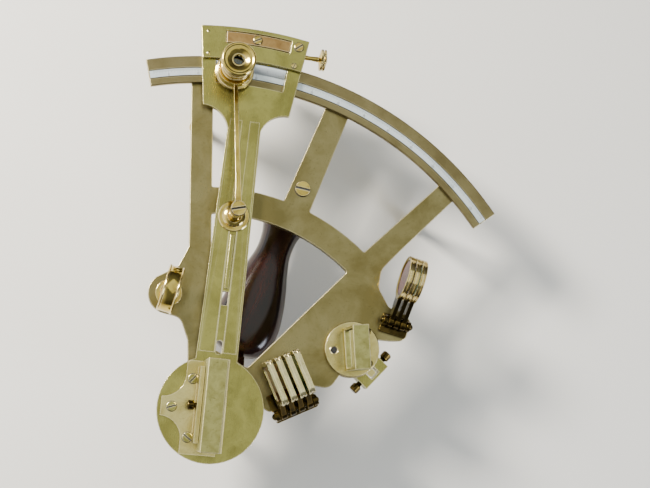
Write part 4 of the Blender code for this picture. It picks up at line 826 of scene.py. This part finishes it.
mirror_glass, shader, place = new_material(
    "plate glass, silvered", Metallic=1.0, Coat_Weight=0.6, Coat_Roughness=0.02
)
foxing = add_node(
    mirror_glass, "ShaderNodeTexNoise", [("Vector", place), ("Scale", 1 / (2.5 * MM)), ("Detail", 6.0)]
)
spoilt = add_node(
    mirror_glass, "ShaderNodeMapRange",
    [("Value", foxing.outputs["Fac"]), ("From Min", 0.62), ("From Max", 0.74)],
    clamp=True,
)
silvering = add_node(
    mirror_glass, "ShaderNodeMix", [(0, spoilt.outputs[0]), (6, linear("#E4EAE8")), (7, linear("#7D8078"))],
    data_type="RGBA",
)
blur = add_node(
    mirror_glass, "ShaderNodeMapRange", [("Value", spoilt.outputs[0]), ("To Min", 0.03), ("To Max", 0.3)]
)
feed(mirror_glass, shader, Base_Color=silvering.outputs[2], Roughness=blur.outputs[0])
dress("index_mirror_glass", mirror_glass, 0.2)

MIRROR_ANGLE = 5.033  # clockwise of +Y at rest
MIRROR_PLACE = Matrix.Rotation(math.radians(-MIRROR_ANGLE), 4, "Z")
FOOT_TOP = 70.6
heads = bmesh.new()
# Dark strips in the slots and dark rings round the heads: painted shade, partly old polish.
painted_shade_and_dirt = bmesh.new()
for across, along, turn in ((-11.2, 15.7, 50), (-21.2, 0, 20), (-11.2, -15.7, -35)):
    seat = Matrix.Translation((across, along, FOOT_TOP - 0.05))
    slotted(2.7, 0.6, turn, heads, seat)
    slot_painted_shade_and_dirt(painted_shade_and_dirt, 2.7, 0.6, turn, seat)
place_piece("mirror_foot_screws", heads, arm_brass, "arm", MIRROR_PLACE)
place_piece("mirror_screw_painted_shade_and_dirt", painted_shade_and_dirt, black_wax_and_painted_shade, "arm", MIRROR_PLACE)

bezel = bmesh.new()
bezel_rings = []
for across, inset in ((4.15, 0.0), (4.75, 0.0), (4.95, 0.25), (4.95, 2.1), (4.7, 2.3), (4.15, 2.3)):
    corners = ((-22.0 + inset, 71.0 + inset), (26.0 - inset, 71.0 + inset))
    corners += ((26.0 - inset, 104.7 - inset), (-22.0 + inset, 104.7 - inset))
    bezel_rings.append([bezel.verts.new((across, y, z)) for y, z in corners])
for first, second in zip(bezel_rings, bezel_rings[1:] + bezel_rings[:1]):
    for i in range(4):
        bezel.faces.new((first[i - 1], first[i], second[i], second[i - 1]))
place_piece("mirror_bezel", bezel, foot_brass, "arm", MIRROR_PLACE)

bronze = worn_brass(
    "brass, chemically bronzed", "#4A3D1E", "#2B2412", "#141008", 0.14, 0.26, None, patch=8.0,
    wave=0.1, edge_wear_and_highlight="#7A6430",
)
knob_profile = [
    (0, 0), (1.6, 0), (2.2, 0.25), (2.5, 0.6, 0.2), (2.5, 3.3, 0.2), (2.1, 3.6), (1.5, 3.9), (1.5, 4.8),
    (0, 4.8)
]
KNOB_PLACE = MIRROR_PLACE @ Matrix.Translation((-13.42, 1.5, 80.1)) @ Matrix.Rotation(
    math.radians(90), 4, "Y"
)
knob = place_piece(
    "mirror_adjusting_screw", milled(knob_profile, 16), bronze, "arm_mirror_screw",
    KNOB_PLACE
)
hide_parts("index_mirror_adjuster")

# --- Magnifier --------------------------------------------------------------------------------
# A turned brass tube with a glass lens slides in a ring on a swinging arm, over the vernier. It is
# beaded at both ends and polished bright; its eyepiece is dished, and blackened inside.

dress("magnifier_arm", bright_brass, 0.3)
low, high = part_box("magnifier_pillar")
seat = (low + high) / 2 / MM
foot, head = low.z / MM, high.z / MM
pillar_profile = [(0, foot), (8.6, foot), (8.75, foot + 0.3), (8.7, foot + 0.9), (8.3, foot + 1.2)]
pillar_profile += [
    (6.3, foot + 1.25), (6.0, foot + 1.5), (5.9, foot + 2.2), (5.4, foot + 2.6), (4.0, foot + 3.0)
]
pillar_profile += [(3.4, foot + 4.2), (3.1, foot + 6.0), (3.0, head - 9.0)] + bead(
    3.1, head - 8.6, head - 7.6, 0.8
)
pillar_profile += [
    (3.0, head - 7.2), (3.3, head - 5.2), (3.9, head - 4.7), (3.9, head - 4.4), (1.6, head - 4.4)
]
pillar_profile += [(1.6, head), (0, head)]
pillar = place_piece(
    "magnifier_pillar_turned", turned(pillar_profile, 64), bright_brass, "arm",
    Matrix.Translation((seat.x, seat.y, 0)),
)
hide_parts("magnifier_pillar")
low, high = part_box("magnifier_pivot_screw")
seat = Matrix.Translation(((low.x + high.x) / 2 / MM, (low.y + high.y) / 2 / MM, low.z / MM))
tall = (high.z - low.z) / MM
pivot_head = place_piece(
    "magnifier_pivot_head", slotted(4.0, tall, 10), bright_brass, "arm", seat
)
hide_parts("magnifier_pivot_screw")
# Dark strip in the slot and dark ring round the head: painted shade, partly old polish.
painted_shade_and_dirt = bmesh.new()
slot_painted_shade_and_dirt(painted_shade_and_dirt, 4.0, tall, 10, seat)
place_piece("pivot_screw_painted_shade_and_dirt", painted_shade_and_dirt, black_wax_and_painted_shade, "arm")

low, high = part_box("magnifier_tube")
seat = (low + high) / 2 / MM
TUBE_PLACE = Matrix.Translation((seat.x, seat.y, 0))
rim, top = low.z / MM, high.z / MM
tube_profile = [(6.4, rim), (9.6, rim)] + bead(9.9, rim + 0.1, rim + 1.1, 0.9) + bead(
    9.2, rim + 1.1, rim + 1.9, 0.8
)
tube_profile += [(7.6, rim + 2.0), (7.6, top - 10.2)] + bead(7.8, top - 10.2, top - 9.2, 0.7)
tube_profile += [(8.0, top - 9.0), (8.0, top - 5.2)] + bead(8.0, top - 5.1, top - 4.3, 0.5)
tube_profile += [(8.1, top - 4.2), (8.2, top), (6.4, top)]
tube = place_piece(
    "magnifier_tube_turned", turned(tube_profile, 72, closed=True), bright_brass, "magnifier",
    TUBE_PLACE,
)
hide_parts("magnifier_tube")

low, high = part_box("magnifier_eyepiece")
cup, crown = low.z / MM, high.z / MM
cup_profile = [(2.7, cup), (8.2, cup), (8.5, cup + 0.3), (9.0, cup + 0.8)] + bead(
    9.1, cup + 0.9, cup + 1.7, 0.35
)
cup_profile += [
    (8.8, cup + 1.9), (8.9, cup + 2.6), (9.4, cup + 3.2), (9.45, cup + 3.9), (9.0, crown - 0.15)
]
cup_profile += [(8.5, crown), (8.0, crown - 0.15), (7.6, crown - 0.5), (7.4, crown - 0.55)]
cup_profile += [(7.0, crown - 0.5), (5.8, crown - 0.9), (4.4, crown - 1.6), (3.6, crown - 2.1)]
cup_profile += [(3.3, crown - 2.0), (3.0, crown - 2.05), (2.7, crown - 2.4)]
cup_piece = place_piece(
    "magnifier_cup_turned", turned(cup_profile, 72, closed=True), bright_brass, "magnifier",
    TUBE_PLACE,
)
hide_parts("magnifier_eyepiece")

# Dull black lacquer: real inside the magnifier tube; also the flat disc of painted shade that stands for the
# hole in the horizon mirror's disc.
lampblack_and_painted_shade, shader, place = new_material("lampblack lacquer, dull", Roughness=0.8)
soot = add_node(
    lampblack_and_painted_shade, "ShaderNodeTexNoise", [("Vector", place), ("Scale", 1 / (0.6 * MM)), ("Detail", 3.0)]
)
dull = add_node(
    lampblack_and_painted_shade, "ShaderNodeMix", [(0, soot.outputs["Fac"]), (6, linear("#0B0B0B")), (7, linear("#1E1C1A"))],
    data_type="RGBA",
)
feed(lampblack_and_painted_shade, shader, Base_Color=dull.outputs[2])
lining = [
    (6.05, rim + 6.0), (6.35, rim + 6.0), (6.35, top - 0.1), (2.9, top - 0.1), (2.9, top - 0.3),
    (6.05, top - 0.3)
]
place_piece(
    "magnifier_lining", turned(lining, 48, closed=True), lampblack_and_painted_shade, "magnifier",
    TUBE_PLACE
)

lens_glass, shader, place = new_material(
    "crown glass, ground and polished", IOR=1.52, Transmission_Weight=1.0, Roughness=0.0
)
smear = add_node(
    lens_glass, "ShaderNodeTexNoise", [("Vector", place), ("Scale", 1 / (3 * MM)), ("Detail", 4.0)]
)
film = add_node(
    lens_glass, "ShaderNodeMapRange", [("Value", smear.outputs["Fac"]), ("To Min", 0.0), ("To Max", 0.06)]
)
tint = add_node(
    lens_glass, "ShaderNodeMix",
    [(0, smear.outputs["Fac"]), (6, linear("#F2F8F4")), (7, linear("#E2EDE6"))],
    data_type="RGBA",
)
feed(lens_glass, shader, Base_Color=tint.outputs[2], Roughness=film.outputs[0])
dress("magnifier_lens", lens_glass)

# --- Telescope collar -------------------------------------------------------------------------
# A threaded brass ring takes the telescope. Its stem slides in a socket in the frame, and a large
# milled nut below raises and lowers it. Both edges of the ring are beaded.

dress("collar_socket", bright_brass, 0.3)
low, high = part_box("telescope_collar")
COLLAR_X, COLLAR_Y, SIGHT_LEVEL = -23.3, 63.7, 83.5
SIGHT_TURN = math.degrees(math.atan2(-0.28313, 0.95908))
COLLAR_PLACE = (
    Matrix.Translation((COLLAR_X, COLLAR_Y, SIGHT_LEVEL)) @ Matrix.Rotation(math.radians(SIGHT_TURN), 4, "Z")
)
ring_profile = [(10.8, -4.2), (11.9, -4.2)] + bead(12.3, -4.15, -3.0, 0.7) + [
    (12.4, -2.8), (12.45, 0), (12.4, 2.8)
]
ring_profile += bead(12.3, 3.0, 4.15, 0.7) + [(11.9, 4.2), (10.8, 4.2)]
for thread in range(9):  # drawn coarser than the real thread, to show
    ring_profile += [(10.9, 3.8 - 0.9 * thread), (11.2, 3.35 - 0.9 * thread)]
ring_mesh = turned(ring_profile, 96, closed=True)
bmesh.ops.rotate(ring_mesh, verts=ring_mesh.verts[:], matrix=Matrix.Rotation(math.radians(90), 3, "Y"))
collar_ring = place_piece(
    "collar_ring", ring_mesh, bright_brass, "collar", COLLAR_PLACE
)
stem_foot = low.z / MM - SIGHT_LEVEL
stem_profile = [(0, stem_foot), (2.8, stem_foot)]
for thread in range(36):  # drawn coarser than the real thread, to show
    stem_profile += [(3.1, stem_foot + 0.4 + 0.8 * thread), (2.8, stem_foot + 0.8 + 0.8 * thread)]
stem_profile += [(3.1, stem_foot + 29.6), (3.1, -14.45)] + bead(3.2, -14.4, -13.5, 0.7)
stem_profile += [(3.4, -13.4), (4.6, -12.7), (5.2, -12.0), (0, -12.0)]
stem = place_piece(
    "collar_stem", turned(stem_profile, 40), bright_brass, "collar", COLLAR_PLACE
)
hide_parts("telescope_collar")
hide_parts("telescope_collar")
low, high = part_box("collar_nut")
NUT_LOW, NUT_HIGH = low.z / MM, high.z / MM
nut_profile = [(3.4, NUT_LOW), (6.6, NUT_LOW), (7.6, NUT_LOW + 0.4), (8.0, NUT_LOW + 0.7, 0.4)]
nut_profile += [(8.0, NUT_HIGH - 0.7, 0.4), (7.6, NUT_HIGH - 0.4), (5.0, NUT_HIGH), (3.4, NUT_HIGH)]
nut_mesh = milled(nut_profile + nut_profile[:1], 40)
bmesh.ops.remove_doubles(nut_mesh, verts=nut_mesh.verts[:], dist=0.001)
nut = place_piece(
    "collar_nut_milled", nut_mesh, bright_brass, "collar_milled_nut",
    Matrix.Translation((COLLAR_X, COLLAR_Y, 0)),
)
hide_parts("collar_nut")

# --- Horizon mirror ---------------------------------------------------------------------------
# A half-silvered glass in a matt brass box stands on a polished disc. Its spindle goes through the
# frame to a tail, which two small capstan screws in a block push from either side.

dress("horizon_mirror_base", foot_brass, 0.35)
dress("horizon_mirror_frame", matt_brass, 0.3)
dress("horizon_mirror_glass", mirror_glass, 0.2)
dress("horizon_adjuster_block", arm_brass, 0.4)

HORIZON_PLACE = Matrix.Translation((79.0, 33.5, 0)) @ Matrix.Rotation(math.atan2(0.05697, 0.99838), 4, "Z")
DISC_TOP = 65.0
hole_rim = turned(
    [(1.9, -0.1), (2.5, -0.1), (2.5, 0.12), (2.3, 0.25), (2.05, 0.2), (1.9, 0.05)], 36, closed=True
)
HOLE_PLACE = HORIZON_PLACE @ Matrix.Translation((-10.5, 0, DISC_TOP))
place_piece("disc_hole_rim", hole_rim, foot_brass, "horizon_mirror", HOLE_PLACE)
# The hole is not cut: a flat dark disc flush with the surface is painted shade for its depth.
hole_painted_shade = turned([(0, -0.05), (1.95, -0.05), (1.95, 0.03), (0, 0.03)], 24)
place_piece("disc_hole", hole_painted_shade, lampblack_and_painted_shade, "horizon_mirror", HOLE_PLACE)
backs = bmesh.new()
for along, level in ((8.5, 84.0), (2.5, 74.0), (-9.0, 84.0)):
    upright_head = (
        Matrix.Translation((4.4, along, level)) @ Matrix.Rotation(math.radians(90), 4, "Y")
    )
    slotted(1.5, 2.4, 30 + along, backs, upright_head)
place_piece("glass_clip_screws", backs, bronze, "horizon_mirror", HORIZON_PLACE)

for name, way in (("horizon_adjuster_screw_1", 0), ("horizon_adjuster_screw_2", 180)):
    capstan = [
        (0, 3.3), (1.4, 3.3), (1.4, 9.4), (1.8, 10.3), (2.75, 11.0, 0.15), (2.75, 14.2, 0.15),
        (2.2, 14.8), (0, 14.85)
    ]
    screw_axis = (
        Matrix.Translation((91.553, 21.164, 53.9)) @ Matrix.Rotation(math.atan2(-0.71325, -0.70091), 4, "Z")
        @ Matrix.Rotation(math.radians(way), 4, "Z") @ Matrix.Rotation(math.radians(90), 4, "Y")
    )
    body = "capstan_screw_1" if way == 0 else "capstan_screw_2"
    screw = place_piece(name + "_turned", milled(capstan, 14), bronze, body, screw_axis)
    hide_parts(name)

# --- Shades -----------------------------------------------------------------------------------
# Coloured glasses in grooved brass frames, hinged in two stacks on bronzed barrels. The frames are
# bright brass all over, and the glasses run from deep red to pale green.


def grooved_frame(outline, opening, near, thick):
    """Frame for a glass: its edge is grooved, and its opening steps in to hold the glass."""
    mesh = bmesh.new()
    middle = sum((Vector(point) for point in outline), Vector((0, 0))) / len(outline)

    def layer(points, along, inset):
        ring_points = []
        for point in points:
            away = (Vector(point) - middle).normalized()
            spot = Vector(point) - away * inset
            ring_points.append(mesh.verts.new((spot.x, near + along, spot.y)))
        return ring_points

    rings = [
        layer(outline, 0.25, 0), layer(outline, thick * 0.38, 0), layer(outline, thick * 0.41, 0.6),
        layer(outline, thick * 0.59, 0.6), layer(outline, thick * 0.62, 0), layer(outline, thick - 0.25, 0),
        layer(outline, thick, 0.3), layer(opening, thick, -0.9), layer(opening, thick - 0.4, 0),
        layer(opening, 0.4, 0), layer(opening, 0, -0.9), layer(outline, 0, 0.3),
    ]
    count = len(outline)
    for first, second in zip(rings, rings[1:] + rings[:1]):
        for i in range(count):
            mesh.faces.new((first[i - 1], first[i], second[i], second[i - 1]))
    return mesh


def squircle(centre, half, corner, steps):
    """Square with rounded corners, as evenly turned points about its centre."""
    points = []
    for i in range(steps):
        turn = 2 * math.pi * i / steps
        x, y = math.cos(turn), math.sin(turn)
        reach = half / max(abs(x), abs(y))
        limit = half * math.sqrt(2) - corner * (math.sqrt(2) - 1)
        points.append((centre[0] + x * min(reach, limit), centre[1] + y * min(reach, limit)))
    return points


def knuckle(arm_points, near, thick, radius):
    """Hinge barrel of one shade with the flat arm that joins it to its frame."""
    mesh = bmesh.new()
    sides = (0.4, thick - 0.4)
    low_face, high_face = ([mesh.verts.new((x, near + y, z)) for x, z in arm_points] for y in sides)
    mesh.faces.new(low_face)
    mesh.faces.new(high_face)
    for i in range(len(arm_points)):
        mesh.faces.new((low_face[i - 1], low_face[i], high_face[i], high_face[i - 1]))
    barrel = [(1.7, 0.0), (radius - 0.35, 0.0), (radius, 0.35)]
    barrel += [(radius, thick - 0.35), (radius - 0.35, thick), (1.7, thick)]
    rings = []
    for reach, along in barrel:
        points = [polar(reach, 10 * i) for i in range(36)]
        rings.append([mesh.verts.new((x, near + along, z)) for x, z in points])
    for first, second in zip(rings, rings[1:] + rings[:1]):
        for i in range(36):
            mesh.faces.new((first[i - 1], first[i], second[i], second[i - 1]))
    return mesh


def shade_glass(name, deep, pale):
    """Glass coloured in the melt, ground flat; a faint film of dust dulls it unevenly."""
    glass, shader, place = new_material(
        name, IOR=1.52, Transmission_Weight=0.85, Coat_Weight=0.5, Coat_Roughness=0.03
    )
    cloudy = add_node(
        glass, "ShaderNodeTexNoise", [("Vector", place), ("Scale", 1 / (6 * MM)), ("Detail", 4.0)]
    )
    melt = add_node(
        glass, "ShaderNodeMix", [(0, cloudy.outputs["Fac"]), (6, linear(deep)), (7, linear(pale))],
        data_type="RGBA"
    )
    dust = add_node(
        glass, "ShaderNodeMapRange", [("Value", cloudy.outputs["Fac"]), ("To Min", 0.0), ("To Max", 0.12)]
    )
    feed(glass, shader, Base_Color=melt.outputs[2], Roughness=dust.outputs[0])
    return glass


red_glass = shade_glass("dark red glass", "#6A0F12", "#8E1B1B")
amber_glass = shade_glass("amber glass", "#A24A10", "#C4661C")
green_glass = shade_glass("dark green glass", "#114A2A", "#1D6B3C")
pale_glass = shade_glass("pale green glass", "#7FAE83", "#A3C9A2")
frame_brass = worn_brass(
    "shade brass, turned and lacquered", "#E0D6A4", "#C6BA80", "#807040", 0.12, 0.24, None, patch=7.0,
    wave=0.1
)

SHADE_PLACE = Matrix.Translation((6.832, -16.111, 68.0)) @ Matrix.Rotation(
    math.atan2(-0.92065, 0.3904), 4, "Z"
)
INDEX_CENTRE = (-17.5, 15.5)
INDEX_FIRST, INDEX_PITCH, INDEX_THICK = 33.9, 5.2, 3.6  # along the pin
SHADE_HALF, GLASS_HALF = 12.5, 10.1
index_arm_points = [(-6.2, 3.3), (-2.6, -2.4), (0.4, -2.9), (2.2, 1.5), (-5.4, 9.5)]
for number, glass in enumerate((red_glass, amber_glass, green_glass, pale_glass), 1):
    near = INDEX_FIRST + (number - 1) * INDEX_PITCH
    body = f"near_shade_{number}"
    rim_mesh = grooved_frame(
        squircle(INDEX_CENTRE, SHADE_HALF, 2.6, 64), squircle(INDEX_CENTRE, GLASS_HALF, 2.0, 64),
        near, INDEX_THICK,
    )
    rim_piece = place_piece(
        f"index_shade_frame_{number}", rim_mesh, frame_brass, body, SHADE_PLACE
    )
    hub_mesh = knuckle(index_arm_points, near, INDEX_THICK, 3.05)
    hub_piece = place_piece(
        f"index_shade_hub_{number}", hub_mesh, bronze, body, SHADE_PLACE
    )
    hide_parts(f"index_shade_{number}")
    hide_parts(f"index_shade_{number}")
    dress(f"index_shade_glass_{number}", glass)

FAR_PLACE = Matrix.Translation((84.946, 53.641, 68.0)) @ Matrix.Rotation(
    math.atan2(-0.95908, -0.28313), 4, "Z"
)
FAR_FIRST, FAR_PITCH, FAR_THICK = 14.5, 3.6, 3.0  # along the pin
FAR_RISE, FAR_ASIDE, FAR_SWING = 21.0, 15.5, 125.0  # the shade's middle in use, and its swing
reach = math.hypot(FAR_RISE, FAR_ASIDE)
lean = math.radians(FAR_SWING) - math.atan2(FAR_RISE, FAR_ASIDE)
FAR_CENTRE = (-reach * math.sin(lean), reach * math.cos(lean))
far_round = [
    (FAR_CENTRE[0] + x, FAR_CENTRE[1] + y)
    for x, y in (polar(SHADE_HALF, 360 * i / 72) for i in range(72))
]
far_open = [
    (FAR_CENTRE[0] + x, FAR_CENTRE[1] + y)
    for x, y in (polar(GLASS_HALF, 360 * i / 72) for i in range(72))
]
toward = Vector(FAR_CENTRE).normalized()
aside = Vector((toward.y, -toward.x))
neck_points = [
    tuple(toward * a + aside * b)
    for a, b in ((1.5, -2.8), (1.5, 2.8), (reach - 11.0, 5.2), (reach - 11.9, 0), (reach - 11.0, -5.2))
]
for number, glass in enumerate((red_glass, green_glass, pale_glass), 1):
    near = FAR_FIRST + (number - 1) * FAR_PITCH
    body = f"far_shade_{number}"
    rim_mesh = grooved_frame(far_round, far_open, near, FAR_THICK)
    rim_piece = place_piece(
        f"horizon_shade_frame_{number}", rim_mesh, bright_brass, body, FAR_PLACE
    )
    hub_mesh = knuckle(neck_points, near, FAR_THICK, 3.3)
    hub_piece = place_piece(
        f"horizon_shade_hub_{number}", hub_mesh, bronze, body, FAR_PLACE
    )
    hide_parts(f"horizon_shade_{number}")
    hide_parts(f"horizon_shade_{number}")
    dress(f"horizon_shade_glass_{number}", glass)

for name in ("index_shade_bracket", "horizon_shade_bracket"):
    dress(name, bronze, 0.4)
for name, place, start, end in (
    ("index_shade_pin", SHADE_PLACE, 30.3, 56.1), ("horizon_shade_pin", FAR_PLACE, 11.0, 28.2)
):
    balls = turned(
        [(0, start - 1.1)] + [
            (2.0 * math.sin(t), start + 0.9 - 2.0 * math.cos(t))
            for t in (0.3, 0.6, 0.9, 1.2, 1.5)
        ]
        + [(1.3, start + 0.9), (1.3, end - 0.9)]
        + [(2.0 * math.sin(t), end - 0.9 - 2.0 * math.cos(t)) for t in (1.64, 1.94, 2.24, 2.54, 2.84)]
        + [(0, end + 1.1)],
        28,
    )
    bmesh.ops.rotate(balls, verts=balls.verts[:], matrix=Matrix.Rotation(math.radians(-90), 3, "X"))
    pin = place_piece(name + "_turned", balls, bronze, "instrument_frame", place)
    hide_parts(name)
